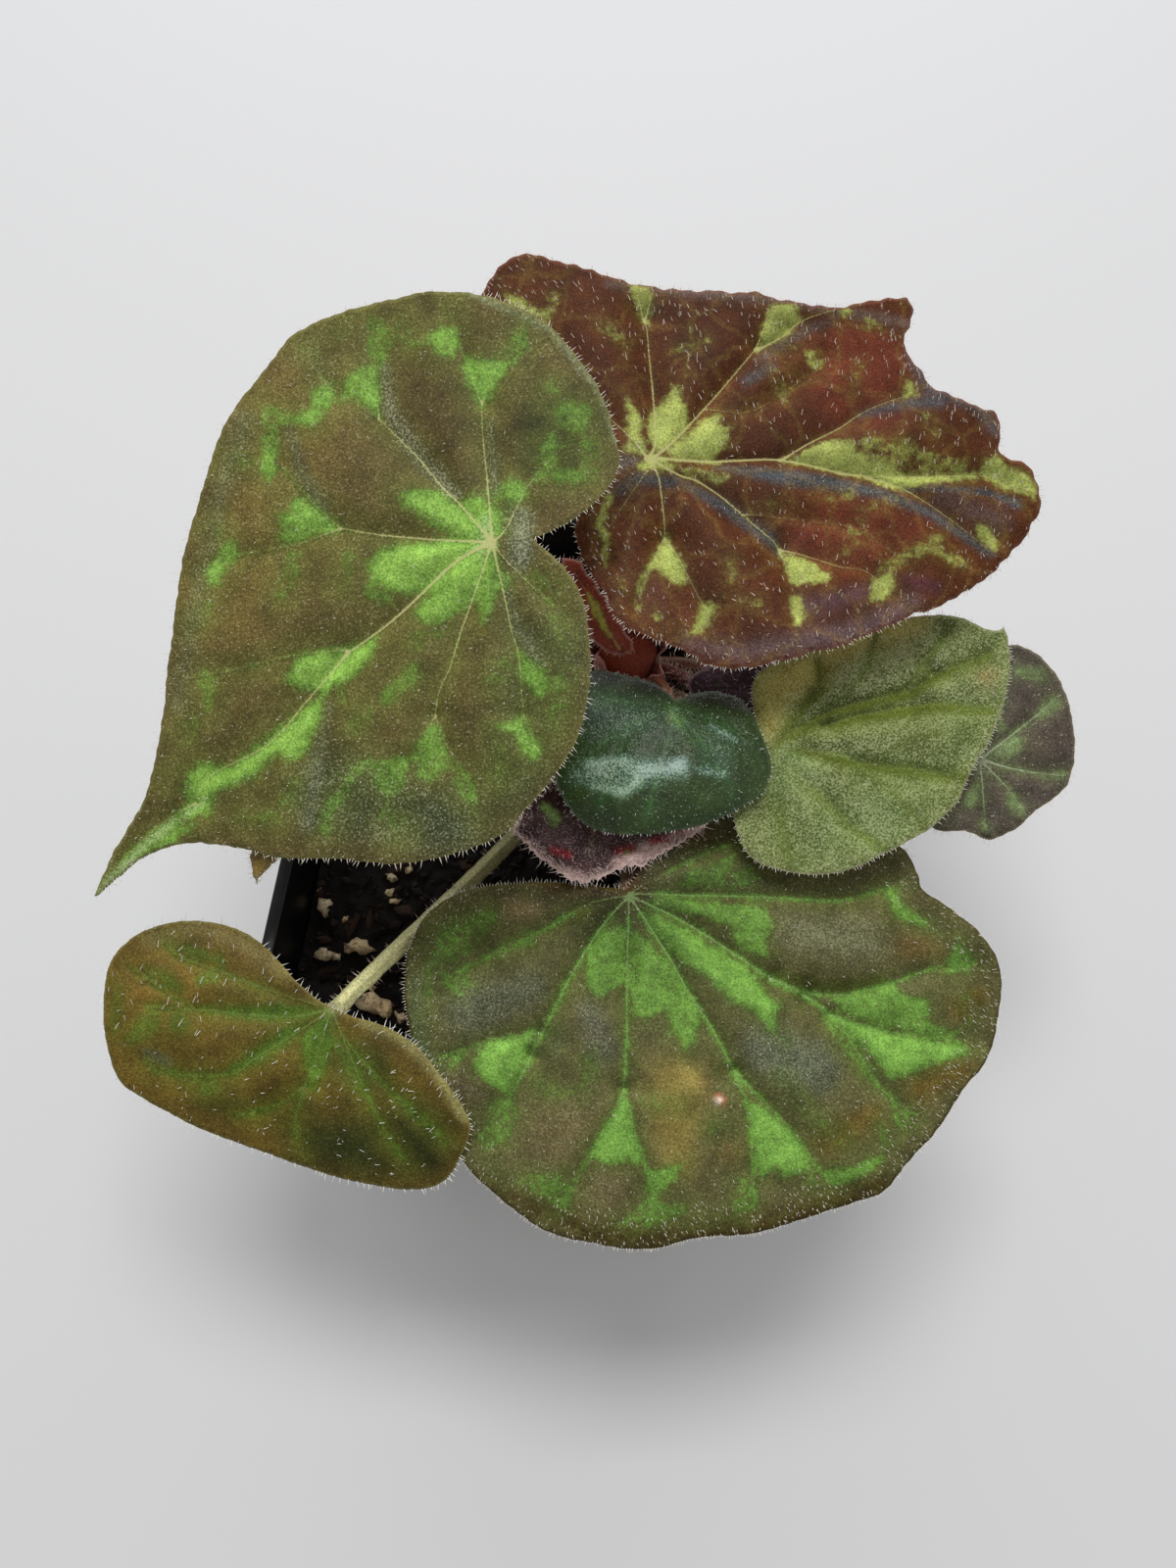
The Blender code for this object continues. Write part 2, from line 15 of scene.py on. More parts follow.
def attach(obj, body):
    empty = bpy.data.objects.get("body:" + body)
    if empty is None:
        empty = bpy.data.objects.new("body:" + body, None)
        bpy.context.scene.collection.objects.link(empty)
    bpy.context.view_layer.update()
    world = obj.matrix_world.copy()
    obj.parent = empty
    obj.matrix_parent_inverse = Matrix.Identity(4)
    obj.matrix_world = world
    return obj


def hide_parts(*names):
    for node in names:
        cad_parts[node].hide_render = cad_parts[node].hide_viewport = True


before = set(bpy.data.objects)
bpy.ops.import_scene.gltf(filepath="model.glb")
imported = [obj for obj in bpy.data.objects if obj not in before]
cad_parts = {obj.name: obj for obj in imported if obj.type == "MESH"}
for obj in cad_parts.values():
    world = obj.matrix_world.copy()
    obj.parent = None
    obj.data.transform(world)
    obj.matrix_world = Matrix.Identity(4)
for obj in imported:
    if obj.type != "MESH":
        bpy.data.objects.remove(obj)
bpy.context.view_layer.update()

# Camera. It looks down on the plant from the front, a hand's breadth over the leaves, with
# a short telephoto lens. The leaves were read as pixels of this view, so the way from a
# pixel to a point in the plant stands here too.
MM = 0.001
EYE = Vector((0, -65.3 * MM, 352 * MM))
EYE_TILT = math.radians(76)
LENS = 39
FRAME_CENTRE = (600, 800)
FOCAL_PX = LENS / 36 * 1600


def sight_lines(pixels):
    """Directions from the eye through pixels, one row each."""
    pixels = np.asarray(pixels, float)
    back = np.array([0, -math.cos(EYE_TILT), math.sin(EYE_TILT)])
    up = np.cross(back, [1.0, 0, 0])
    column = (pixels[:, 0:1] - FRAME_CENTRE[0]) / FOCAL_PX
    row = (pixels[:, 1:2] - FRAME_CENTRE[1]) / FOCAL_PX
    return np.array([[1.0, 0, 0]]) * column - up * row - back


def seen_at(pixels, heights):
    """The points that pixels show, where they lie at these heights."""
    lines = sight_lines(pixels)
    reach = (np.asarray(heights) - EYE.z) / lines[:, 2]
    return np.array(EYE) + lines * reach[:, None]


camera_data = bpy.data.cameras.new("camera")
camera_data.lens = LENS
camera_data.sensor_width = 36
camera = bpy.data.objects.new("camera", camera_data)
camera.location = EYE
camera.rotation_euler = (math.pi / 2 - EYE_TILT, 0, 0)
bpy.context.scene.collection.objects.link(camera)
bpy.context.scene.camera = camera
bpy.context.scene.view_settings.view_transform = "Standard"

# Pot. A thin square nursery pot, injection moulded in black polypropylene in one shot: a
# tapered body with round corners, a rim band that stiffens it, and four drain holes in a
# floor that stands a little clear of the table.
POT_TURN = math.radians(-10)
POT_HEIGHT = 88 * MM
POT_RIM_HALF = 46 * MM
POT_BASE_HALF = 34 * MM
POT_BAND_BOTTOM = 79 * MM
POT_BAND_STEP = 0.9 * MM
POT_WALL = 1.2 * MM
POT_FLOOR = 2 * MM
POT_BASE_CORNER = 5 * MM
POT_LIP_ROUND = 0.35 * MM
POT_FOOT_WIDTH = 3 * MM
POT_RECESS = 0.8 * MM
DRAIN_RADIUS = 4 * MM
DRAIN_OFFSET = 20 * MM


def linear(hex_text):
    """An sRGB hex colour as the linear RGBA that a shader takes."""
    channels = [int(hex_text[start:start + 2], 16) / 255 for start in (1, 3, 5)]
    return (*[c / 12.92 if c <= 0.04045 else ((c + 0.055) / 1.055) ** 2.4 for c in channels], 1.0)


def add_node(tree, kind, inputs=None, **settings):
    """Adds one shader node. inputs maps its sockets to values or to other nodes' outputs, and
    a node given there stands for its first output in use."""
    node = tree.nodes.new("ShaderNode" + kind)
    for name, value in settings.items():
        setattr(node, name, value)
    for socket_name, value in (inputs or {}).items():
        if isinstance(value, bpy.types.Node):
            value = next(output for output in value.outputs if output.enabled)
        if isinstance(value, bpy.types.NodeSocket):
            tree.links.new(value, node.inputs[socket_name])
        else:
            node.inputs[socket_name].default_value = value
    return node


def new_material(name):
    """An empty material and its node tree."""
    material = bpy.data.materials.new(name)
    material.use_nodes = True
    material.node_tree.nodes.clear()
    return material, material.node_tree


def pot_half(z):
    """Half the width of the pot's tapered body outside, at a height."""
    return POT_BASE_HALF + (POT_RIM_HALF - POT_BAND_STEP - POT_BASE_HALF) * z / POT_HEIGHT


def select_faces(item, wanted):
    """Selects in edit mode the faces for which wanted(face) is true, and nothing else."""
    bpy.ops.mesh.select_mode(type="FACE")
    bpy.ops.mesh.select_all(action="DESELECT")
    mesh = bmesh.from_edit_mesh(item.data)
    for face in mesh.faces:
        face.select_set(bool(wanted(face)))
    bmesh.update_edit_mesh(item.data)


def extrude_to(half, z, now):
    """Extrudes the selected square face to a new height and half-width, from (half, z) now."""
    bpy.ops.mesh.extrude_region_move(TRANSFORM_OT_translate={"value": (0, 0, z - now[1])})
    ratio = half / now[0]
    bpy.ops.transform.resize(value=(ratio, ratio, 1), center_override=(0, 0, z))
    return half, z


def black_plastic():
    """Moulded black polypropylene: a fine even grain, dull where soil dust has dried on it."""
    material, tree = new_material("moulded_black_polypropylene")
    place = add_node(tree, "TexCoord").outputs["Object"]
    grain = add_node(tree, "TexNoise", {"Vector": place, "Scale": 1 / (0.5 * MM), "Detail": 3.0})
    dust = add_node(tree, "TexNoise", {"Vector": place, "Scale": 1 / (14 * MM), "Detail": 6.0,
                                       "Roughness": 0.7})
    dusty = add_node(tree, "MapRange", {"Value": dust, "From Min": 0.5, "From Max": 0.78,
                                        "To Max": 0.5})
    colour = add_node(tree, "Mix", {0: dusty, 6: linear("#090a0d"), 7: linear("#2a2724")},
                      data_type="RGBA")
    rough = add_node(tree, "MapRange", {"Value": dust, "From Min": 0.3, "From Max": 0.7,
                                        "To Min": 0.3, "To Max": 0.5})
    bump = add_node(tree, "Bump", {"Height": grain, "Strength": 0.25, "Distance": 0.04 * MM})
    skin = add_node(tree, "BsdfPrincipled", {"Base Color": colour, "Roughness": rough,
                                             "Normal": bump, "IOR": 1.49})
    add_node(tree, "OutputMaterial", {"Surface": skin})
    return material


bpy.ops.object.select_all(action="DESELECT")
bpy.ops.mesh.primitive_plane_add(size=2 * POT_BASE_HALF, location=(0, 0, 0))
pot = bpy.context.object
pot.name = "pot_shell"
bpy.ops.object.mode_set(mode="EDIT")
bpy.ops.mesh.select_all(action="SELECT")
bpy.ops.mesh.bevel(offset=POT_BASE_CORNER, segments=7, affect="VERTICES")
select_faces(pot, lambda face: True)
level = (POT_BASE_HALF, 0)
inner_top = pot_half(POT_HEIGHT) - POT_WALL
for half, z in ((pot_half(POT_BAND_BOTTOM), POT_BAND_BOTTOM),
                (pot_half(POT_BAND_BOTTOM) + POT_BAND_STEP, POT_BAND_BOTTOM + 0.3 * MM),
                (POT_RIM_HALF, POT_HEIGHT),
                (inner_top, POT_HEIGHT),
                (pot_half(POT_FLOOR) - POT_WALL, POT_FLOOR)):
    level = extrude_to(half, z, level)
select_faces(pot, lambda face: face.calc_center_median().z < 0.1 * MM)
bpy.ops.mesh.inset(thickness=POT_FOOT_WIDTH)
select_faces(pot, lambda face: face.calc_center_median().z < 0.1 * MM and len(face.verts) > 4)
bpy.ops.transform.translate(value=(0, 0, POT_RECESS))
bpy.ops.mesh.select_all(action="SELECT")
bpy.ops.mesh.normals_make_consistent(inside=False)
bpy.ops.object.mode_set(mode="OBJECT")
for quarter in range(4):
    angle = math.pi / 2 * quarter
    bpy.ops.object.select_all(action="DESELECT")
    bpy.ops.mesh.primitive_cylinder_add(vertices=28, radius=DRAIN_RADIUS, depth=4 * POT_FLOOR,
                                        location=(DRAIN_OFFSET * math.cos(angle),
                                                  DRAIN_OFFSET * math.sin(angle), 0))
    drill = bpy.context.object
    hole = pot.modifiers.new("hole", "BOOLEAN")
    hole.operation = "DIFFERENCE"
    hole.object = drill
    bpy.context.view_layer.objects.active = pot
    bpy.ops.object.modifier_apply(modifier="hole")
    bpy.data.objects.remove(drill, do_unlink=True)
rounding = pot.modifiers.new("rounding", "BEVEL")
rounding.width = POT_LIP_ROUND
rounding.segments = 3
rounding.limit_method = "ANGLE"
rounding.angle_limit = math.radians(35)
bpy.ops.object.modifier_apply(modifier="rounding")
pot.select_set(True)
bpy.ops.object.shade_smooth_by_angle(angle=math.radians(40))
pot.rotation_euler = (0, 0, POT_TURN)
bpy.ops.object.transform_apply(location=True, rotation=True, scale=True)
pot.data.materials.append(black_plastic())
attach(pot, "root")
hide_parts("pot")

# Soil. A dark potting mix of peat and fine bark, poured in up to a finger's width under the
# rim and watered flat. It is one lumpy bed with loose crumbs and bits of bark on it.
SOIL_LEVEL = 75 * MM
SOIL_ROUGHNESS = 1.1 * MM
SOIL_LUMP = 9 * MM
SOIL_CLOD = 2.2 * MM
SOIL_CLOD_HEIGHT = 0.7 * MM
CLOD_FRACTAL = (0.7, 2.2, 3)  # smoothness, step between sizes, number of sizes
SOIL_GAP = 0.3 * MM
SOIL_CORNER = 7 * MM
SOIL_SUBDIVISIONS = 170
CROWN = Vector((6.5 * MM, 22 * MM, SOIL_LEVEL))
CRUMB_COUNT = 2600
CRUMB_SIZE = (0.35 * MM, 1.1 * MM)
CRUMB_MARGIN = 0.6 * MM
BARK_COUNT = 130
BARK_SIZE = (1.2 * MM, 3.2 * MM)
BARK_MARGIN = 3 * MM
CROWN_CLEARANCE = 5.5 * MM
BED_SHADE = 0.7
LUMP_WAVES = 1.3
SOIL_SEED = 7


def soil_height(x, y):
    """The soil's own height over a place in plan: wide swells, small clods."""
    swell = noise.noise(Vector((x, y, 0)) / SOIL_LUMP)
    clods = noise.fractal(Vector((x, y, SOIL_CLOD)) / SOIL_CLOD, *CLOD_FRACTAL)
    return SOIL_LEVEL + SOIL_ROUGHNESS * swell + SOIL_CLOD_HEIGHT * clods


def into_round_square(x, y, half, corner):
    """Moves a place of a square that lies outside its round corner onto that corner."""
    inner = half - corner
    over_x = abs(x) - inner
    over_y = abs(y) - inner
    if over_x > 0 and over_y > 0:
        reach = math.hypot(over_x, over_y)
        wanted = max(over_x, over_y)
        x = math.copysign(inner + over_x * wanted / reach, x)
        y = math.copysign(inner + over_y * wanted / reach, y)
    return x, y


def new_object(name, verts, faces, smooth=False):
    """A mesh object from its points and faces, set in the scene."""
    mesh = bpy.data.meshes.new(name)
    mesh.from_pydata(verts, [], faces)
    if smooth:
        mesh.polygons.foreach_set("use_smooth", [True] * len(mesh.polygons))
    item = bpy.data.objects.new(name, mesh)
    bpy.context.scene.collection.objects.link(item)
    return item


def add_values(item, name, values):
    """Stores one number for each point of a mesh, for its material to read."""
    stored = item.data.attributes.new(name, "FLOAT", "POINT")
    stored.data.foreach_set("value", np.asarray(values, np.float32))


def scatter_mesh(name, shape, places, turns, sizes, shades, smooth=False):
    """One object of many turned and stretched copies of a small shape, each with a shade."""
    points = np.array([vert.co for vert in shape.data.vertices])
    faces = [tuple(face.vertices) for face in shape.data.polygons]
    verts, all_faces = [], []
    for index, (place, turn, size) in enumerate(zip(places, turns, sizes)):
        matrix = np.array(turn.to_matrix())
        verts.append((points * np.array(size)) @ matrix.T + np.array(place))
        shift = index * len(points)
        all_faces.extend([tuple(corner + shift for corner in face) for face in faces])
    item = new_object(name, np.concatenate(verts).tolist(), all_faces, smooth)
    add_values(item, "shade", np.repeat(np.array(shades, np.float32), len(points)))
    bpy.data.objects.remove(shape, do_unlink=True)
    return item


def rough_lump(subdivisions, roughness, seed):
    """A small ball of radius 1 with knocked-in corners, to be copied."""
    bpy.ops.object.select_all(action="DESELECT")
    bpy.ops.mesh.primitive_ico_sphere_add(subdivisions=subdivisions, radius=1, location=(0, 0, 0))
    lump = bpy.context.object
    for vert in lump.data.vertices:
        spot = vert.co * LUMP_WAVES + Vector((seed, 0, 0))
        vert.co *= 1 + roughness * noise.noise(spot)
    return lump


def peat(name, dark, light):
    """Damp peat and bark: nearly black, rough all through, each crumb a little different."""
    material, tree = new_material(name)
    place = add_node(tree, "TexCoord").outputs["Object"]
    shade = add_node(tree, "Attribute", attribute_name="shade").outputs["Fac"]
    fine = add_node(tree, "TexNoise", {"Vector": place, "Scale": 1 / (0.8 * MM), "Detail": 8.0,
                                       "Roughness": 0.75})
    mixed = add_node(tree, "Math", {0: fine, 1: shade}, operation="MULTIPLY")
    lightness = add_node(tree, "MapRange", {"Value": mixed, "From Min": 0.1, "From Max": 0.6})
    colour = add_node(tree, "Mix", {0: lightness, 6: linear(dark), 7: linear(light)},
                      data_type="RGBA")
    bump = add_node(tree, "Bump", {"Height": fine, "Strength": 0.9, "Distance": 0.25 * MM})
    skin = add_node(tree, "BsdfPrincipled", {"Base Color": colour, "Roughness": 0.85,
                                             "Specular IOR Level": 0.3, "Normal": bump})
    add_node(tree, "OutputMaterial", {"Surface": skin})
    return material


soil_half = pot_half(SOIL_LEVEL) - POT_WALL - SOIL_GAP
bpy.ops.object.select_all(action="DESELECT")
bpy.ops.mesh.primitive_grid_add(x_subdivisions=SOIL_SUBDIVISIONS, y_subdivisions=SOIL_SUBDIVISIONS,
                                size=2 * soil_half, location=(0, 0, 0))
soil = bpy.context.object
soil.name = "soil_bed"
for vert in soil.data.vertices:
    x, y = into_round_square(vert.co.x, vert.co.y, soil_half, SOIL_CORNER)
    vert.co = (x, y, soil_height(x, y))
bpy.ops.object.mode_set(mode="EDIT")
bpy.ops.mesh.select_mode(type="EDGE")
bpy.ops.mesh.select_all(action="DESELECT")
bpy.ops.mesh.select_non_manifold()
bpy.ops.mesh.extrude_region_move(TRANSFORM_OT_translate={"value": (0, 0, 0)})
soil_foot = POT_FLOOR + SOIL_GAP
taper = (pot_half(soil_foot) - POT_WALL - SOIL_GAP) / soil_half
bpy.ops.transform.resize(value=(taper, taper, 0), center_override=(0, 0, soil_foot))
bpy.ops.mesh.edge_face_add()
bpy.ops.mesh.select_all(action="SELECT")
bpy.ops.mesh.normals_make_consistent(inside=False)
bpy.ops.object.mode_set(mode="OBJECT")
bpy.ops.object.shade_smooth_by_angle(angle=math.radians(50))
soil.rotation_euler = (0, 0, POT_TURN)
bpy.ops.object.transform_apply(location=True, rotation=True, scale=True)
add_values(soil, "shade", [BED_SHADE] * len(soil.data.vertices))
soil.data.materials.append(peat("damp_peat_bed", "#040303", "#1c1611"))
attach(soil, "root")
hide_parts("soil")


def strewn(count, draw, margin):
    """Seeded places on the soil, clear of the pot's wall and of the stem."""
    turn = Matrix.Rotation(POT_TURN, 3, "Z")
    room = soil_half - margin
    places = []
    while len(places) < count:
        x, y = draw.uniform(-room, room), draw.uniform(-room, room)
        x, y = into_round_square(x, y, room, SOIL_CORNER)
        place = turn @ Vector((x, y, soil_height(x, y)))
        if (place.xy - CROWN.xy).length > CROWN_CLEARANCE:
            places.append(place)
    return places


draw = random.Random(SOIL_SEED)
crumb_sizes = [draw.uniform(0, 1) ** 2.5 * (CRUMB_SIZE[1] - CRUMB_SIZE[0]) + CRUMB_SIZE[0]
               for _ in range(CRUMB_COUNT)]
crumbs = scatter_mesh(
    "soil_crumbs", rough_lump(1, 0.7, 3), strewn(CRUMB_COUNT, draw, CRUMB_MARGIN),
    [Euler([draw.uniform(0, 6.28) for _ in range(3)]) for _ in range(CRUMB_COUNT)],
    [(size, size * draw.uniform(0.5, 1), size * draw.uniform(0.4, 0.9)) for size in crumb_sizes],
    [draw.uniform(0.3, 1.3) for _ in range(CRUMB_COUNT)])
crumbs.data.materials.append(peat("loose_peat_crumbs", "#050403", "#30241a"))
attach(crumbs, "root")
bark_sizes = [draw.uniform(*BARK_SIZE) for _ in range(BARK_COUNT)]
bark = scatter_mesh(
    "soil_bark", rough_lump(1, 0.9, 8), strewn(BARK_COUNT, draw, BARK_MARGIN),
    [Euler((draw.gauss(0, 0.3), draw.gauss(0, 0.3), draw.uniform(0, 6.28)))
     for _ in range(BARK_COUNT)],
    [(size, size * draw.uniform(0.25, 0.5), size * draw.uniform(0.15, 0.3))
     for size in bark_sizes],
    [draw.uniform(0.5, 1.5) for _ in range(BARK_COUNT)])
bark.data.materials.append(peat("composted_bark", "#0c0705", "#3f2c1f"))
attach(bark, "root")

# Perlite. Popped volcanic glass, mixed into the soil to keep it open: pale, crumbly grains
# stained cream by the peat. The ones in the gap between the leaves lie where they show.
PERLITE_SEEN = [
    ((315, 922), 1.5), ((400, 895), 0.9), ((418, 888), 0.8), ((398, 911), 1.0),
    ((403, 920), 0.9), ((368, 967), 2.0), ((331, 975), 1.5), ((344, 976), 0.7),
    ((382, 1026), 2.4), ((392, 1036), 2.0), ((410, 1038), 1.1), ((356, 968), 1.0),
    ((300, 905), 0.6), ((352, 938), 0.6), ((430, 873), 0.7), ((378, 1008), 0.8)]
PERLITE_HIDDEN = 46
PERLITE_SIZE = (0.7 * MM, 1.7 * MM)
PERLITE_APART = 5 * MM
PERLITE_REACH = 1.3
PERLITE_LIFT = 0.2


def perlite_crust():
    """Expanded perlite: chalky, pitted, cream with brown in the pits."""
    material, tree = new_material("expanded_perlite")
    place = add_node(tree, "TexCoord").outputs["Object"]
    shade = add_node(tree, "Attribute", attribute_name="shade").outputs["Fac"]
    pits = add_node(tree, "TexNoise", {"Vector": place, "Scale": 1 / (0.7 * MM), "Detail": 6.0,
                                       "Roughness": 0.7})
    stain = add_node(tree, "MapRange", {"Value": pits, "From Min": 0.34, "From Max": 0.52})
    clean = add_node(tree, "Mix", {0: shade, 6: linear("#e0b878"), 7: linear("#fff2cc")},
                     data_type="RGBA")
    colour = add_node(tree, "Mix", {0: stain, 6: linear("#8a6434"), 7: clean}, data_type="RGBA")
    bump = add_node(tree, "Bump", {"Height": pits, "Strength": 1.0, "Distance": 0.4 * MM})
    skin = add_node(tree, "BsdfPrincipled", {"Base Color": colour, "Roughness": 0.9,
                                             "Normal": bump})
    add_node(tree, "OutputMaterial", {"Surface": skin})
    return material


def on_soil(pixel, size):
    """The place on the soil that a pixel shows, for a grain that stays off the pot's wall."""
    turn = Matrix.Rotation(POT_TURN, 3, "Z")
    seen = turn.inverted() @ Vector(seen_at([pixel], [SOIL_LEVEL])[0])
    room = soil_half - PERLITE_REACH * size
    x, y = (max(-room, min(room, value)) for value in seen.xy)
    x, y = into_round_square(x, y, room, SOIL_CORNER)
    return turn @ Vector((x, y, soil_height(x, y) + PERLITE_LIFT * size))


perlite_places = [on_soil(pixel, size * MM) for pixel, size in PERLITE_SEEN]
perlite_sizes = [size * MM for _, size in PERLITE_SEEN]
for place in strewn(PERLITE_HIDDEN, draw, BARK_MARGIN):
    if min((place - other).length for other in perlite_places) > PERLITE_APART:
        perlite_places.append(place)
        perlite_sizes.append(draw.uniform(*PERLITE_SIZE))
perlite = scatter_mesh(
    "soil_perlite", rough_lump(2, 0.8, 5), perlite_places,
    [Euler((draw.gauss(0, 0.4), draw.gauss(0, 0.4), draw.uniform(0, 6.28)))
     for _ in perlite_places],
    [(size, size * draw.uniform(0.6, 0.9), size * draw.uniform(0.5, 0.8))
     for size in perlite_sizes],
    [draw.uniform(0.2, 1) for _ in perlite_places], smooth=True)
perlite.data.materials.append(perlite_crust())
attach(perlite, "root")

# Rhizome. The short thick stem, upright in the soil, that all the stalks grow from: fleshy,
# red-brown and knobbly with old leaf scars.
RHIZOME_RADIUS = 5 * MM
RHIZOME_DEPTH = 8 * MM
RHIZOME_RISE = 15.5 * MM
RHIZOME_LEVELS = 24
RHIZOME_CAP = ((0.8, 0.6), (1.2, 0.5), (1.4, 0.2))  # inset and rise of each step, in mm
SCAR_RING = 1.5 * MM
SCAR_RELIEF = 0.03
KNOB_SIZE = 3 * MM
KNOB_RELIEF = 0.12
KNOB_ROOM = 0.08


def fleshy_skin(name, low, high, vein):
    """Young begonia stem: waxy, streaked along its length, with a thin film of short hair."""
    material, tree = new_material(name)
    place = add_node(tree, "TexCoord").outputs["Object"]
    blotches = add_node(tree, "TexNoise", {"Vector": place, "Scale": 1 / (3 * MM), "Detail": 5.0})
    along = add_node(tree, "Attribute", attribute_name="along").outputs["Fac"]
    mixed = add_node(tree, "Math", {0: blotches, 1: 0.5, 2: along}, operation="MULTIPLY_ADD")
    share = add_node(tree, "MapRange", {"Value": mixed, "From Min": 0.2, "From Max": 1.1})
    colour = add_node(tree, "Mix", {0: share, 6: linear(low), 7: linear(high)}, data_type="RGBA")
    streak = add_node(tree, "Attribute", attribute_name="streak").outputs["Fac"]
    streaked = add_node(tree, "Mix", {0: streak, 6: colour, 7: linear(vein)}, data_type="RGBA")
    fine = add_node(tree, "TexNoise", {"Vector": place, "Scale": 1 / (0.35 * MM), "Detail": 5.0})
    grain = add_node(tree, "MapRange", {"Value": fine, "From Min": 0.35, "From Max": 0.65,
                                        "To Min": 0.6, "To Max": 1.15})
    grainy = add_node(tree, "VectorMath", {0: streaked, "Scale": grain}, operation="SCALE")
    bump = add_node(tree, "Bump", {"Height": fine, "Strength": 0.9, "Distance": 0.14 * MM})
    skin = add_node(tree, "BsdfPrincipled", {
        "Base Color": grainy, "Roughness": 0.45, "Sheen Weight": 0.15, "Specular IOR Level": 0.35,
        "Normal": bump})
    add_node(tree, "OutputMaterial", {"Surface": skin})
    return material


bpy.ops.object.select_all(action="DESELECT")
bpy.ops.mesh.primitive_cylinder_add(
    vertices=40, radius=RHIZOME_RADIUS, depth=RHIZOME_DEPTH + RHIZOME_RISE,
    location=(CROWN.x, CROWN.y, CROWN.z + (RHIZOME_RISE - RHIZOME_DEPTH) / 2))
rhizome = bpy.context.object
rhizome.name = "rhizome_stem"
bpy.ops.object.transform_apply(location=True, rotation=False, scale=False)
bpy.ops.object.mode_set(mode="EDIT")
select_faces(rhizome, lambda face: abs(face.normal.z) < 0.5)
bpy.ops.mesh.select_mode(type="EDGE")
mesh = bmesh.from_edit_mesh(rhizome.data)
for edge in mesh.edges:
    edge.select_set(abs(edge.verts[0].co.z - edge.verts[1].co.z) > RHIZOME_RISE)
bpy.ops.mesh.subdivide(number_cuts=RHIZOME_LEVELS)
select_faces(rhizome, lambda face: face.normal.z > 0.9)
for inset, rise in RHIZOME_CAP:
    bpy.ops.mesh.inset(thickness=inset * MM)
    bpy.ops.transform.translate(value=(0, 0, rise * MM))
bpy.ops.object.mode_set(mode="OBJECT")
for vert in rhizome.data.vertices:
    out = Vector((vert.co.x - CROWN.x, vert.co.y - CROWN.y, 0))
    ring = math.sin((vert.co.z - CROWN.z) / SCAR_RING)
    knob = noise.noise(vert.co / KNOB_SIZE)
    vert.co += out * (SCAR_RELIEF * ring + KNOB_RELIEF * knob - KNOB_ROOM)
bpy.ops.object.shade_smooth_by_angle(angle=math.radians(60))
add_values(rhizome, "along", [(vert.co.z - CROWN.z) / RHIZOME_RISE
                              for vert in rhizome.data.vertices])
add_values(rhizome, "streak", [0] * len(rhizome.data.vertices))
rhizome.data.materials.append(fleshy_skin("fleshy_rhizome_bark", "#4a2416", "#a85238", "#d88a62"))
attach(rhizome, "root")
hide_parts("rhizome")

# Stipules. Papery pink scales, one pair to a leaf, that wrapped each young leaf and now
# stand round the top of the rhizome, translucent, ribbed and fringed.
STIPULE_ROOT_BELOW_TOP = 4 * MM
STIPULE_SUNK = 1.2 * MM
STIPULE_THICKNESS = 0.25 * MM
STIPULE_START = 0.22
STIPULE_BLUNTNESS = 0.8
STIPULE_TAPER = 0.35
STIPULE_LEAST = 0.02
STIPULE_TEAR = 0.12
STIPULE_TEARS = (6, 9)
STIPULE_CUP = 0.25
STIPULE_CURL = 0.1
STIPULE_RIPPLE = 0.35 * MM
STIPULE_WAVES = 14
STIPULES = [
    # bearing in degrees, length and width in mm, lean outwards
    (44, 11, 5.5, 0.45), (112, 11, 5.5, 0.45), (218, 11, 6, 0.45), (170, 8, 4.5, 0.9),
    (265, 8, 5, 0.7), (320, 7, 4.5, 0.8), (80, 8, 4, 0.2), (10, 8, 4, 0.6)]


def scale_shape(item, length, width, seed):
    """Turns a flat grid from (-0.5, 0) to (0.5, 1) into a cupped pointed scale."""
    for vert in item.data.vertices:
        side, up = vert.co.x, vert.co.y + 0.5
        arch = math.sin(math.pi * min(1.0, STIPULE_START + (1 - STIPULE_START) * up))
        half = arch ** STIPULE_BLUNTNESS * (1 - STIPULE_TAPER * up) + STIPULE_LEAST
        spot = Vector((side * STIPULE_TEARS[0], up * STIPULE_TEARS[1], seed))
        tear = STIPULE_TEAR * noise.noise(spot) * abs(side)
        x = side * width * (half + tear)
        cup = STIPULE_CUP * width * (4 * side * side) + STIPULE_CURL * length * up * up
        ripple = STIPULE_RIPPLE * math.sin(up * STIPULE_WAVES + seed) * abs(side) * 2
        vert.co = (x, -cup + ripple, up * length)


bpy.ops.object.select_all(action="DESELECT")
scales = []
for index, (bearing_deg, length, width, lean) in enumerate(STIPULES):
    bpy.ops.mesh.primitive_grid_add(x_subdivisions=12, y_subdivisions=22, size=1)
    scale = bpy.context.object
    add_values(scale, "along", [0.2 + 0.6 * (vert.co.y + 0.5) for vert in scale.data.vertices])
    add_values(scale, "streak", [0.5 * (math.cos(vert.co.x * 50) > 0.3)
                                 for vert in scale.data.vertices])
    scale_shape(scale, length * MM, width * MM, index * 5.1)
    thickness = scale.modifiers.new("thickness", "SOLIDIFY")
    thickness.thickness = STIPULE_THICKNESS
    thickness.offset = 0
    bpy.ops.object.modifier_apply(modifier="thickness")
    bearing = math.radians(bearing_deg)
    out = Vector((math.cos(bearing), math.sin(bearing), 0))
    root = CROWN + Vector((0, 0, RHIZOME_RISE - STIPULE_ROOT_BELOW_TOP))
    scale.location = root + out * (RHIZOME_RADIUS - STIPULE_SUNK)
    scale.rotation_euler = (-math.atan(lean), 0, bearing - math.pi / 2)
    scales.append(scale)
bpy.ops.object.select_all(action="DESELECT")
for scale in scales:
    scale.select_set(True)
bpy.context.view_layer.objects.active = scales[0]
bpy.ops.object.transform_apply(location=True, rotation=True, scale=True)
bpy.ops.object.join()
stipules = bpy.context.object
stipules.name = "rhizome_stipules"
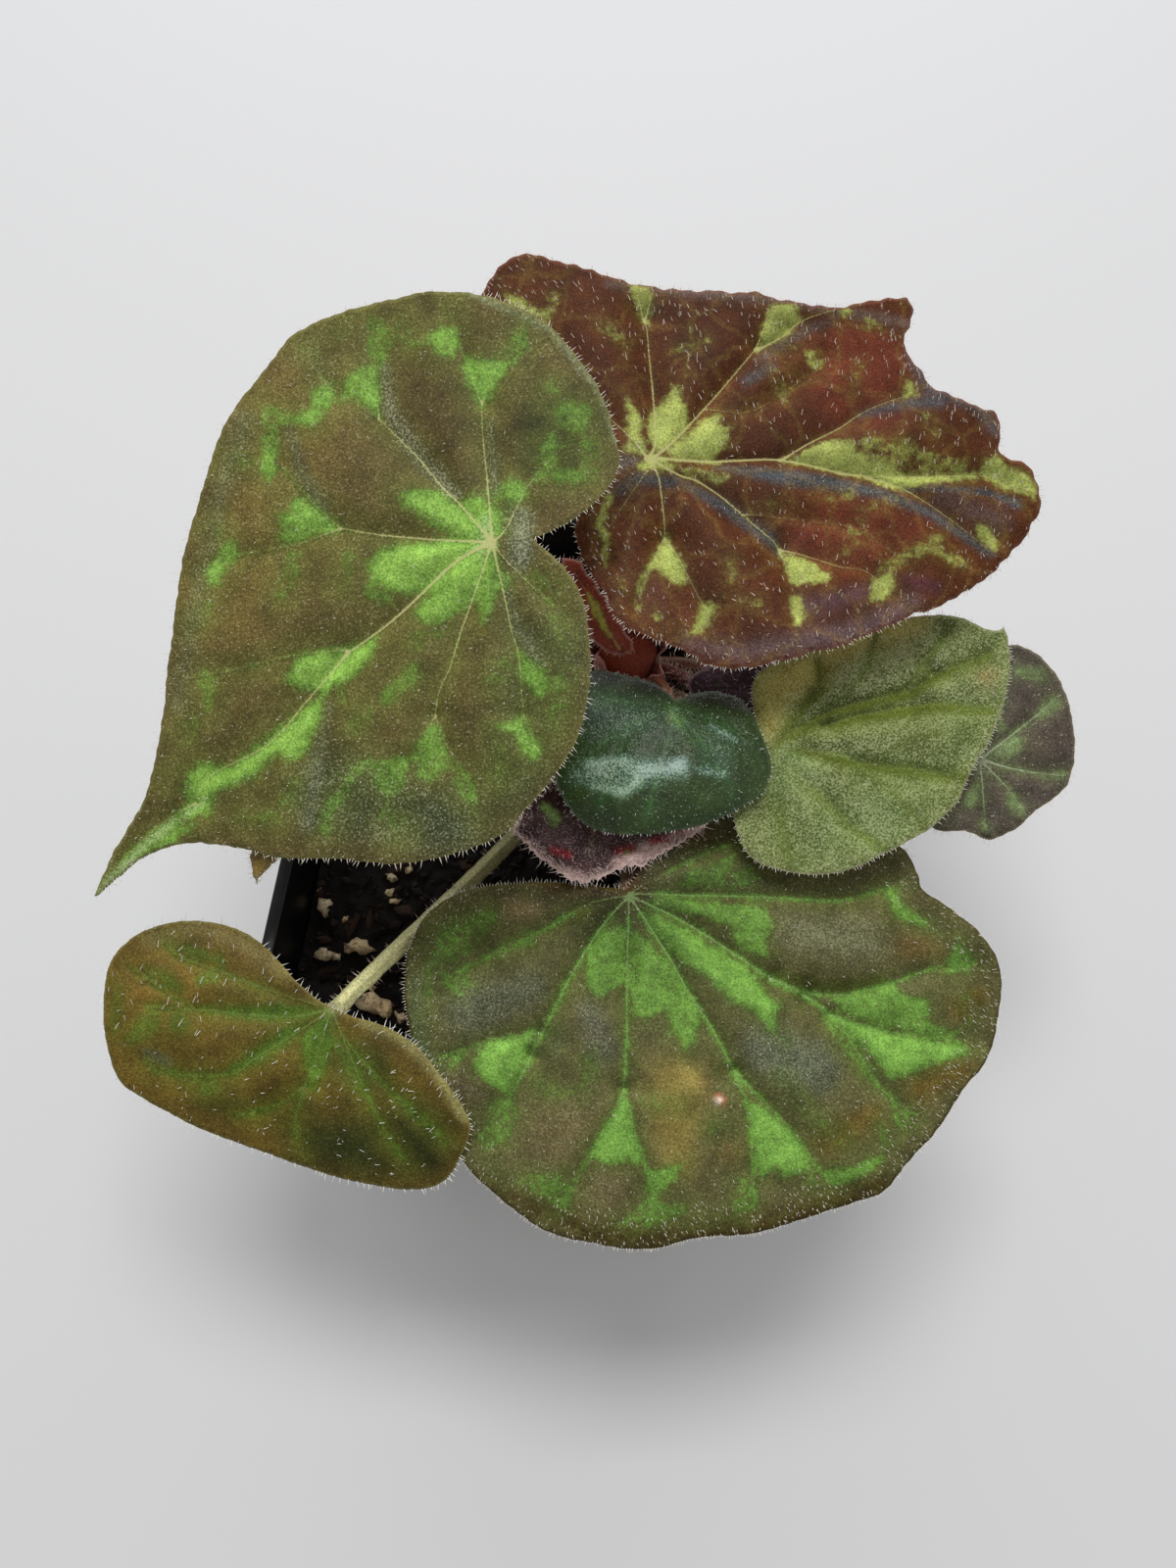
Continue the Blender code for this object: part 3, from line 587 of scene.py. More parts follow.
bpy.ops.object.shade_smooth_by_angle(angle=math.radians(60))
stipules.data.materials.append(fleshy_skin("papery_pink_stipule", "#7a3a34", "#c9837a", "#e3b0a6"))
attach(stipules, "root")

# Leaf blades. Each is one thin, slightly fleshy sheet with sunken veins, its colour in its
# own skin, hairy on its margin and face. A blade is drawn on the sheet that carries it: its
# outline, veins and markings are strokes in pixels of the photograph's view.
BLADE_EDGE = 0.22 * MM
BLADE_BODY = 0.45 * MM
BLADE_RIB = 0.45 * MM
RIB_RISE_MM = 0.07
RIPPLE_REACH = 30 * MM
SHEET_ROUNDS = 20
TOOTH_RAGGED = 0.9
TOOTH_SAW = 0.5
TOOTH_SEED = 3.7
MAIN_VEIN_PX = 2.2
VEIN_FLARE = 0.8
VEIN_FLARE_PX = 7
VEIN_STEP_PX = 3.5
OUTLINE_STEP_PX = 3.0
VEIN_SHOULDER_PX = 3.0
VEIN_CLEAR_PX = 4.5
EDGE_CLEAR_PX = 1.6
MERGE_PX = 1.1
THIN_EDGE_MM = 1.2
FLAT_EDGE_MM = 3
PLAIN_EDGE_MM = 4
HUB_MM = 9
LEAST_RELIEF = 0.25
VEIN_GREEN_PULL = 1.2
FAR_OUTSIDE_MM = -50.0
NOWHERE_NEAR = -1e3
LEAST_RUN = 1e-9
SNAP_PX = 0.001
# How a leaf is written: shapes in pixels, sizes in mm. Its sheet is at height over the pixel
# heart, with slope, bend (per metre in x, y and both) and ripple (height, waves, degrees).
# teeth: depth and pitch in pixels. groove: depth, reach and crease of the sunken veins. lump:
# height and size. veins: half-widths at both ends, then the line. along and fringe: how far
# the green keeps to the veins and off the margin. ground: colour and how silvery, where the
# silvery specks are partly painted glints. spots: the same, then softness and stroke. shade:
# painted shade, how much darker the blade is painted round its hub. hair: spacing and length
# on the margin, counts on the face or in a band of it, their length, width and lean. In look,
# jag, soft and reach shape the green's rims, and each colour stands with its strength.
COMMON_LEAF = {"corners": [], "slope": (0.0, 0.0), "ripple": (0.0, 1, 0), "fringe": 0.5,
               "shade": 0.0}
COMMON_LOOK = {"net": None, "rough": 0.5, "gloss": 0.1, "pucker": 1.5, "bump": 0.6, "halo": 0.5,
               "back": ("#7d6a4a", "#8f7a58", "#b8a070")}


def read_shape(text):
    """The points of a shape written as in SVG, x,y x,y or with a radius x,y,r x,y,r."""
    return np.array([point.split(",") for point in text.split()], float)


def smooth_path(shape, spacing, closed=False, corners=()):
    """Rows about spacing apart on a smooth curve through a shape's points, sharp at corners."""
    rows = read_shape(shape)
    count = len(rows)
    path = []
    for index in range(count if closed else count - 1):
        start, end = rows[index], rows[(index + 1) % count]
        before = rows[index - 1] if closed or index > 0 else start
        after = rows[(index + 2) % count] if closed or index + 2 < count else end
        leave = (end - before) / 2 * (tuple(start[:2]) not in corners)
        arrive = (after - start) / 2 * (tuple(end[:2]) not in corners)
        steps = max(1, round(math.hypot(*(end - start)[:2]) / spacing))
        t = (np.arange(steps) / steps)[:, None]
        path.append(start * (2 * t ** 3 - 3 * t ** 2 + 1) + leave * (t ** 3 - 2 * t ** 2 + t)
                    + end * (3 * t ** 2 - 2 * t ** 3) + arrive * (t ** 3 - t ** 2))
    if not closed:
        path.append(rows[-1:])
    return np.concatenate(path)


def sheet_height(leaf, x, y):
    """The height of a leaf's bent, rippled sheet over places in plan."""
    heart = seen_at([leaf["heart"]], [leaf["height"] * MM])[0]
    across, along = x - heart[0], y - heart[1]
    slope_x, slope_y = leaf["slope"]
    bend_x, bend_y, bend_cross = leaf["bend"]
    height = heart[2] + slope_x * across + slope_y * along
    height = height - bend_x * across ** 2 - bend_y * along ** 2 - bend_cross * across * along
    size, waves, phase_deg = leaf["ripple"]
    share = np.minimum(1.0, np.hypot(across, along) / RIPPLE_REACH)
    turn = waves * np.arctan2(along, across) + math.radians(phase_deg)
    return height + size * MM * share ** 2 * np.sin(turn)


def on_sheet(leaf, pixels):
    """The points of a leaf's sheet that pixels show."""
    points = seen_at(pixels, np.full(len(pixels), leaf["height"] * MM))
    for _ in range(SHEET_ROUNDS):
        points = seen_at(pixels, sheet_height(leaf, points[:, 0], points[:, 1]))
    return points


def sheet_normals(leaf, points):
    """The sheet's upward normals over places in plan."""
    x, y = points[:, 0], points[:, 1]
    step = 0.5 * MM
    rise_x = sheet_height(leaf, x + step, y) - sheet_height(leaf, x - step, y)
    rise_y = sheet_height(leaf, x, y + step) - sheet_height(leaf, x, y - step)
    normals = np.stack([-rise_x, -rise_y, np.full(len(x), 2 * step)], axis=1)
    return normals / np.linalg.norm(normals, axis=1, keepdims=True)


def over_strokes(pixels, strokes, shape):
    """The highest shape(distance, radius) over the spans of strokes, rows of x, y, radius."""
    best = np.full(len(pixels), NOWHERE_NEAR)
    for stroke in strokes:
        rows = np.array(stroke, float)
        for start, end in zip(rows, rows[1:] if len(rows) > 1 else rows):
            run = end[:2] - start[:2]
            offset = pixels - start[:2]
            share = np.clip(offset @ run / max(run @ run, LEAST_RUN), 0, 1)
            distance = np.hypot(*(offset - share[:, None] * run).T)
            best = np.maximum(best, shape(distance, start[2] + share * (end[2] - start[2])))
    return best


def depth_in(pixels, strokes):
    """How deep each pixel lies in any of the strokes, or less than 0 by how far outside."""
    return over_strokes(pixels, strokes, lambda distance, radius: radius - distance)


def inside(pixels, outline):
    """Whether each pixel lies in a closed outline."""
    crossings = np.zeros(len(pixels), int)
    x, y = pixels[:, 0], pixels[:, 1]
    for start, end in zip(outline, np.roll(outline, -1, axis=0)):
        if start[1] != end[1]:
            spans = (start[1] > y) != (end[1] > y)
            at = start[0] + (y - start[1]) * (end[0] - start[0]) / (end[1] - start[1])
            crossings += spans & (x < at)
    return crossings % 2 == 1


def edge_distance(pixels, outline):
    """How far each pixel is from a closed outline."""
    loop = np.column_stack([np.vstack([outline, outline[:1]]), np.zeros(len(outline) + 1)])
    return -depth_in(pixels, [loop])


def px_per_mm(leaf):
    """How many pixels a millimetre takes up at the leaf's height."""
    return FOCAL_PX / (EYE.z - leaf["height"] * MM) * MM


def vein_rows(leaf):
    """Each vein as rows of x, y and half-width, tapered along its own length."""
    strokes = []
    for base, tip, shape in leaf["veins"]:
        path = smooth_path(shape, VEIN_STEP_PX)
        length = np.concatenate([[0], np.cumsum(np.hypot(*np.diff(path, axis=0).T))])
        width = base + (tip - base) * length / length[-1]
        width *= 1 + VEIN_FLARE * np.exp(-length / VEIN_FLARE_PX)
        strokes.append(np.column_stack([path, width]))
    return strokes


def toothed_outline(leaf):
    """The leaf's outline with its fine teeth."""
    depth, pitch = leaf["teeth"]
    outline = smooth_path(leaf["outline"], OUTLINE_STEP_PX, True, leaf["corners"])
    run = np.roll(outline, -1, axis=0) - np.roll(outline, 1, axis=0)
    out = np.column_stack([-run[:, 1], run[:, 0]]) / np.hypot(*run.T)[:, None]
    if inside(outline[:1] + out[:1] * 2, outline)[0]:
        out = -out
    length = np.cumsum(np.hypot(*np.diff(outline, axis=0, prepend=outline[:1]).T))
    teeth = np.array([noise.noise(Vector((s / pitch, depth, TOOTH_SEED))) for s in length])
    saw = np.abs((length / pitch) % 1.0 - 0.5) * 2
    return outline + out * (depth * (TOOTH_RAGGED * teeth + TOOTH_SAW * (saw - 1)))[:, None]


def blade_pixels(leaf, outline, veins):
    """Where the blade's mesh has points: its outline, rows beside its veins, an even field."""
    spacing = leaf["grid"]
    rows = []
    for stroke in veins:
        path, width = stroke[:, :2], stroke[:, 2:3]
        run = np.gradient(path, axis=0)
        side = np.column_stack([-run[:, 1], run[:, 0]]) / np.hypot(*run.T)[:, None]
        for offset in (0, 1, -1):
            rows.append(path + side * offset * width)
        for way in (1, -1):
            rows.append(path + side * (width + VEIN_SHOULDER_PX) * way)
    vein_count = sum(len(row) for row in rows)
    low, high = outline.min(axis=0), outline.max(axis=0)
    lines = np.arange(low[1], high[1], spacing * math.sqrt(3) / 2)
    for index, y in enumerate(lines):
        x = np.arange(low[0] + (index % 2) * spacing / 2, high[0], spacing)
        rows.append(np.column_stack([x, np.full(len(x), y)]))
    pixels = np.concatenate(rows)
    clear = depth_in(pixels, veins) < -VEIN_CLEAR_PX
    pixels = pixels[(np.arange(len(pixels)) < vein_count) | clear]
    pixels = pixels[inside(pixels, outline) & (edge_distance(pixels, outline) > EDGE_CLEAR_PX)]
    _, first = np.unique(np.round(pixels / MERGE_PX), axis=0, return_index=True)
    return pixels[np.sort(first)]


def blend_spots(pixels, ground, spots):
    """A ground's colour and silver with soft spots: colour, silver, softness, stroke. Silver is
    how many pale specks show, silvery papillae and painted glints.
    """
    hex_text, silver_and_glint = ground
    mixed = np.tile(np.array((*linear(hex_text)[:3], silver_and_glint)), (len(pixels), 1))
    for hex_text, silver_and_glint, softness, stroke in spots:
        cover = depth_in(pixels, [read_shape(stroke)])
        share = np.clip(cover / softness + 0.5, 0, 1)[:, None]
        share = share * share * (3 - 2 * share)
        mixed = mixed * (1 - share) + np.array((*linear(hex_text)[:3], silver_and_glint)) * share
    return mixed


def patch_field(pixels, leaf):
    """How far each pixel is inside the green, in mm.

    A leaf's patches stand under the most that each may count, with semicolons between them.
    Each is a closed outline, or a stroke with a radius at each point.
    """
    best = np.full(len(pixels), FAR_OUTSIDE_MM)
    for most, shapes in leaf["patches"].items():
        for shape in shapes.split(";"):
            rows = read_shape(shape)
            if rows.shape[1] == 3:
                depth = depth_in(pixels, [rows])
            else:
                depth = edge_distance(pixels, rows) * np.where(inside(pixels, rows), 1, -1)
            best = np.maximum(best, np.minimum(depth / px_per_mm(leaf), most))
    return best


def build_blade(name, leaf):
    """A closed thin sheet, upper skin and underside, with the values its skin is drawn from."""
    veins = vein_rows(leaf)
    outline = toothed_outline(leaf)
    inner = blade_pixels(leaf, outline, veins)
    count = len(outline)
    flat = [Vector(pixel) for pixel in np.concatenate([outline, inner]).tolist()]
    border = [(index, (index + 1) % count) for index in range(count)]
    solved = delaunay_2d_cdt(flat, border, [], 1, SNAP_PX)
    pixels = np.array([tuple(point) for point in solved[0]])
    triangles = solved[2]
    scale = px_per_mm(leaf)
    edge = edge_distance(pixels, outline) / scale
    depth, reach, crease = leaf["groove"]
    groove = over_strokes(pixels, veins, lambda distance, width: np.minimum(
        1, width / MAIN_VEIN_PX) * np.exp(-(distance / (reach * scale)) ** crease))
    line = depth_in(pixels, veins)
    rib = over_strokes(pixels, veins, lambda distance, width: 1 - (distance / width) ** 2)
    points = on_sheet(leaf, pixels)
    normals = sheet_normals(leaf, points)
    hub = np.hypot(*(pixels - read_shape(leaf["veins"][0][2])[0]).T) / scale
    fade = np.clip(edge / FLAT_EDGE_MM, LEAST_RELIEF, 1) * np.clip(hub / HUB_MM, LEAST_RELIEF, 1)
    lumps = np.array([noise.noise(Vector(point) / (leaf["lump"][1] * MM))
                      for point in points.tolist()])
    relief = -depth * groove * fade + RIB_RISE_MM * np.clip(rib, 0, 1) + leaf["lump"][0] * lumps
    upper = points + normals * (relief * MM)[:, None]
    body = BLADE_EDGE + (BLADE_BODY - BLADE_EDGE) * np.clip(edge / THIN_EDGE_MM, 0, 1)
    thick = body + BLADE_RIB * np.clip(groove, 0, 1) ** 2 * fade
    lower = points + normals * (relief * MM - thick)[:, None]

    total = len(pixels)
    faces = [(a, c, b) for a, b, c in triangles]
    faces += [(a + total, b + total, c + total) for a, b, c in triangles]
    sides = {}
    for a, b, c in triangles:
        for start, end in ((a, b), (b, c), (c, a)):
            sides[(start, end)] = (end, start) not in sides
            if not sides[(start, end)]:
                sides[(end, start)] = False
    rim = [(start, end, end + total, start + total) for (start, end), open_side in sides.items()
           if open_side]
    blade = new_object(name, np.concatenate([upper, lower]).tolist(), faces + rim, smooth=True)
    mesh = blade.data
    under = np.zeros(len(mesh.polygons), np.int32)
    under[len(triangles):2 * len(triangles)] = 1
    mesh.polygons.foreach_set("material_index", under)
    beside = over_strokes(pixels, veins, lambda distance, width: leaf["along"] * np.minimum(
        1, width / MAIN_VEIN_PX) + (width - distance) / scale)
    at_edge = 1 - np.clip(edge / PLAIN_EDGE_MM, 0, 1)
    patch = np.maximum(patch_field(pixels, leaf), beside - VEIN_GREEN_PULL * at_edge)
    patch -= leaf["fringe"] * at_edge
    shaped = np.empty(6 * total)
    mesh.vertices.foreach_get("normal", shaped)
    # painted light and shade: slope is how far the relief tilts towards the light behind the plant
    # (+y); the skin is painted lighter there and darker where it tilts away, and shade paints the
    # blade darker round its hub
    slope = shaped.reshape(-1, 3)[:total, 1] - normals[:, 1]
    slope -= leaf["shade"] * np.exp(-(hub / HUB_MM) ** 2)
    for value_name, values in (("patch", patch), ("line", line / scale), ("margin", edge),
                               ("groove", groove), ("slope", slope)):
        add_values(blade, value_name, np.tile(values, 2))
    ground = mesh.attributes.new("ground", "FLOAT_COLOR", "POINT")
    colours = blend_spots(pixels, leaf["ground"], leaf["spots"])
    ground.data.foreach_set("color", np.tile(colours, (2, 1)).ravel().astype(np.float32))
    return blade


def blade_skin(name, look):
    """A begonia blade's upper skin: dull and velvety, green along the veins, with pale ribs.

    Its grain is the leaf's papillae, about 0.3 mm apart, each a tiny glossy dome.
    """
    material, tree = new_material(name)
    place = add_node(tree, "TexCoord").outputs["Object"]
    ground_node = add_node(tree, "Attribute", attribute_name="ground")
    ground, silver_and_glint = ground_node.outputs["Color"], ground_node.outputs["Alpha"]
    patch, line, margin, slope = [add_node(tree, "Attribute", attribute_name=value).outputs["Fac"]
                                  for value in ("patch", "line", "margin", "slope")]
    grain, fine, broad = [
        add_node(tree, "TexNoise", {"Vector": place, "Scale": 1 / (size * MM), "Detail": detail,
                                    "Roughness": roughness})
        for size, detail, roughness in ((0.3, 1.0, 0.7), (1.1, 2.0, 0.6), (4, 2.0, 0.6))]
    hues = add_node(tree, "SeparateColor", {"Color": broad.outputs["Color"]})

    # where the green is: the strokes with ragged rims, fading through dull green to the ground
    rough_rim = add_node(tree, "Math", {0: fine, 1: 1.7, 2: patch}, operation="MULTIPLY_ADD")
    ragged = add_node(tree, "Math", {0: hues.outputs["Green"], 1: look["jag"], 2: rough_rim},
                      operation="MULTIPLY_ADD")
    middle = 0.5 * look["jag"] + 0.85
    green, halo = [
        add_node(tree, "MapRange", {"Value": ragged, "From Min": middle - below,
                                    "From Max": middle + above, "To Max": most},
                 interpolation_type="SMOOTHSTEP")
        for below, above, most in ((look["soft"], look["soft"], 1.0),
                                   (look["reach"], 0.2, look["halo"]))]

    # the dark ground in its own hues and the green over it
    tone = add_node(tree, "MapRange", {"Value": broad, "From Min": 0.3, "From Max": 0.7,
                                       "To Min": 0.74, "To Max": 1.26})
    under = add_node(tree, "Mix", {0: halo, 6: ground, 7: linear(look["green"][0])},
                     data_type="RGBA")
    if look["net"]:
        # veinlets between the papillae, at the seams of cells a few millimetres wide
        wobble = add_node(tree, "VectorMath", {0: broad.outputs["Color"], 1: [3 * MM] * 3,
                                               2: place}, operation="MULTIPLY_ADD")
        seams = add_node(tree, "TexVoronoi", {"Vector": wobble, "Scale": 1 / (look["cell"] * MM)},
                         feature="DISTANCE_TO_EDGE")
        torn = add_node(tree, "Math", {0: fine, 1: -0.16, 2: seams}, operation="MULTIPLY_ADD")
        netted = add_node(tree, "MapRange", {"Value": torn, "From Min": -0.09, "From Max": 0.02,
                                             "To Min": look["net"][1], "To Max": 0.0},
                          interpolation_type="SMOOTHSTEP")
        under = add_node(tree, "Mix", {0: netted, 6: under, 7: linear(look["net"][0])},
                         data_type="RGBA")
    lush = add_node(tree, "MapRange", {"Value": rough_rim, "From Min": 0.7, "From Max": 2.5})
    leafy = add_node(tree, "Mix", {0: lush, 6: linear(look["green"][1]),
                                   7: linear(look["green"][2])}, data_type="RGBA")
    patterned = add_node(tree, "Mix", {0: green, 6: under, 7: leafy}, data_type="RGBA")

    # the papillae: dark between them; painted light and shade, lighter where the relief tilts
    # towards the light and darker where it tilts away; pale specks: silvery papillae and painted
    # glints
    deep = add_node(tree, "MapRange", {"Value": grain, "From Min": 0.3, "From Max": 0.7,
                                       "To Min": 0.6, "To Max": 1.42})
    lit = add_node(tree, "MapRange", {"Value": slope, "From Min": -0.5, "From Max": 0.5,
                                      "To Min": 0.58, "To Max": 1.62})
    shade = add_node(tree, "Math", {0: lit, 1: tone}, operation="MULTIPLY")
    depth = add_node(tree, "Math", {0: shade, 1: deep}, operation="MULTIPLY")
    grained = add_node(tree, "VectorMath", {0: patterned, "Scale": depth}, operation="SCALE")
    uneven = add_node(tree, "Math", {0: silver_and_glint, 1: tone}, operation="MULTIPLY")
    lifted = add_node(tree, "Math", {0: uneven, 1: 0.46, 2: grain}, operation="MULTIPLY_ADD")
    specks = add_node(tree, "MapRange", {"Value": lifted, "From Min": 0.66, "From Max": 0.94,
                                         "To Max": look["speck"][1]})
    speckled = add_node(tree, "Mix", {0: specks, 6: grained, 7: linear(look["speck"][0])},
                        data_type="RGBA")

    # the ribs, and the thin pale rim
    worn = add_node(tree, "Math", {0: grain, 1: 0.22, 2: line}, operation="MULTIPLY_ADD")
    on_rib = add_node(tree, "MapRange", {"Value": worn, "From Min": 0.16, "From Max": 0.38,
                                         "To Max": look["vein"][1]},
                      interpolation_type="SMOOTHSTEP")
    ribbed = add_node(tree, "Mix", {0: on_rib, 6: speckled, 7: linear(look["vein"][0])},
                      data_type="RGBA")
    on_rim = add_node(tree, "MapRange", {"Value": margin, "From Min": 0.45, "From Max": 0.0,
                                         "To Max": look["rim"][1]})
    colour = add_node(tree, "Mix", {0: on_rim, 6: ribbed, 7: linear(look["rim"][0])},
                      data_type="RGBA")
    height = add_node(tree, "Math", {0: fine, 1: look["pucker"], 2: grain},
                      operation="MULTIPLY_ADD")
    bump = add_node(tree, "Bump", {"Height": height, "Strength": look["bump"],
                                   "Distance": 0.15 * MM})
    skin = add_node(tree, "BsdfPrincipled", {"Base Color": colour, "Roughness": look["rough"],
                                             "Specular IOR Level": look["gloss"], "Normal": bump})
    add_node(tree, "OutputMaterial", {"Surface": skin})
    return material


def blade_back(name, look):
    """The underside: paler and reddish, matt, with stout pale ribs."""
    material, tree = new_material(name)
    place = add_node(tree, "TexCoord").outputs["Object"]
    dark, light, rib = [linear(hex_text) for hex_text in look["back"]]
    groove = add_node(tree, "Attribute", attribute_name="groove").outputs["Fac"]
    mottle = add_node(tree, "TexNoise", {"Vector": place, "Scale": 1 / (2.5 * MM), "Detail": 6.0})
    flesh = add_node(tree, "Mix", {0: mottle, 6: dark, 7: light}, data_type="RGBA")
    on_rib = add_node(tree, "MapRange", {"Value": groove, "From Min": 0.35, "From Max": 0.7})
    colour = add_node(tree, "Mix", {0: on_rib, 6: flesh, 7: rib}, data_type="RGBA")
    bump = add_node(tree, "Bump", {"Height": mottle, "Strength": 0.4, "Distance": 0.15 * MM})
    skin = add_node(tree, "BsdfPrincipled", {
        "Base Color": colour, "Roughness": 0.6, "Specular IOR Level": 0.25, "Sheen Weight": 0.2,
        "Normal": bump})
    add_node(tree, "OutputMaterial", {"Surface": skin})
    return material


def hair_gloss(name, colour):
    """Leaf hair: a dead, glassy, nearly white bristle."""
    material, tree = new_material(name)
    skin = add_node(tree, "BsdfPrincipled", {"Base Color": linear(colour), "Roughness": 0.4,
                                             "IOR": 1.5})
    add_node(tree, "OutputMaterial", {"Surface": skin})
    return material


HAIR_BEND = 0.25
HAIR_RINGS = ((-0.1, 1.0, 0.0), (0.5, 0.7, 0.3))  # share of the length, radius, lean
MARGIN_GAPS = (0.3, 1.7)
MARGIN_LIFT = (-0.2, 0.7)
MARGIN_SCATTER = 0.32
MARGIN_LENGTHS = (0.35, 1.25)
FACE_SCATTER = 0.2
FACE_LENGTHS = (0.5, 1.2)
FACE_TRIES = 1.6
BAND_TRIES = 6


def build_hairs(name, roots, ways, lengths, width, draw):
    """Three-sided tapered hairs with one bend, each with its root a little sunk in."""
    verts, faces = [], []
    for root, way, length in zip(roots, ways, lengths):
        side = way.orthogonal().normalized()
        side.rotate(Matrix.Rotation(draw.uniform(0, math.tau), 3, way))
        bend = side * length * draw.uniform(0.0, HAIR_BEND)
        start = len(verts)
        for share, radius, lean in HAIR_RINGS:
            centre = root + way * length * share + bend * lean
            for turn in (0, 1, 2):
                arm = Matrix.Rotation(math.tau / 3 * turn, 3, way) @ side
                verts.append(centre + arm * width / 2 * radius)
        verts.append(root + way * length + bend)
        for turn in (0, 1, 2):
            after = (turn + 1) % 3
            faces.append((start + turn, start + after, start + 3 + after, start + 3 + turn))
            faces.append((start + 3 + turn, start + 3 + after, start + 6))
    return new_object(name, [tuple(vert) for vert in verts], faces, smooth=True)


def face_places(outline, count, band_px, draw):
    """Random pixels on a blade's face, or only in a band along its margin."""
    low, high = outline.min(axis=0), outline.max(axis=0)
    tries = np.array([[draw.uniform(low[0], high[0]), draw.uniform(low[1], high[1])]
                      for _ in range(int(count * (BAND_TRIES if band_px else FACE_TRIES)))])
    tries = tries[inside(tries, outline)]
    if band_px:
        loop = np.column_stack([outline, np.zeros(len(outline))])[::3]
        tries = tries[depth_in(tries, [loop]) > -band_px]
    return tries[:count]


def blade_hairs(number, leaf):
    """The hairs of one blade: a fringe on its margin and others standing on its face."""
    draw = random.Random(number)
    outline = toothed_outline(leaf)
    spacing, length_mm, surface, surface_mm, width_mm, lean = leaf["hair"]
    scale = px_per_mm(leaf)
    edge = on_sheet(leaf, outline)
    edge_normals = sheet_normals(leaf, edge)
    after, before = np.roll(edge, -1, axis=0), np.roll(edge, 1, axis=0)
    out = np.cross(after - before, edge_normals)
    out *= np.sign(np.sum(edge[:, 0] * after[:, 1] - after[:, 0] * edge[:, 1]))
    out /= np.linalg.norm(out, axis=1, keepdims=True)
    step = np.hypot(*np.diff(outline, axis=0, prepend=outline[-1:]).T) / scale
    roots, ways, lengths = [], [], []
    waited = 0.0
    for index in range(len(outline)):
        waited += step[index]
        if waited > spacing:
            waited -= spacing * draw.uniform(*MARGIN_GAPS)
            way = Vector(out[index]) + Vector(edge_normals[index]) * draw.uniform(*MARGIN_LIFT)
            way += Vector([draw.gauss(0, MARGIN_SCATTER) for _ in range(3)])
            roots.append(Vector(edge[index]))
            ways.append(way.normalized())
            lengths.append(length_mm * MM * draw.uniform(*MARGIN_LENGTHS))
    for count, band_mm in surface:
        spots = on_sheet(leaf, face_places(outline, count, band_mm * scale, draw))
        for spot, normal in zip(spots, sheet_normals(leaf, spots)):
            way = Vector(normal) + Vector((*lean, 0))
            way += Vector([draw.gauss(0, FACE_SCATTER) for _ in range(3)])
            roots.append(Vector(spot))
            ways.append(way.normalized())
            lengths.append(surface_mm * MM * draw.uniform(*FACE_LENGTHS))
    return build_hairs(f"hairs_{number:02d}", roots, ways, lengths, width_mm * MM, draw)


def make_leaf(number, leaf):
    """One leaf's blade and its hairs, dressed and set on the plant."""
    leaf.update({**COMMON_LEAF, **leaf, "look": {**COMMON_LOOK, **leaf["look"]}})
    blade = build_blade(f"blade_{number:02d}", leaf)
    blade.data.materials.append(blade_skin(f"velvety_blade_skin_{number:02d}", leaf["look"]))
    blade.data.materials.append(blade_back(f"reddish_blade_back_{number:02d}", leaf["look"]))
    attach(blade, "root")
    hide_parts(f"leaf_{number:02d}_blade")
    hairs = blade_hairs(number, leaf)
    hairs.data.materials.append(hair_gloss(f"glassy_leaf_hair_{number:02d}", leaf["look"]["hair"]))
    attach(hairs, "root")


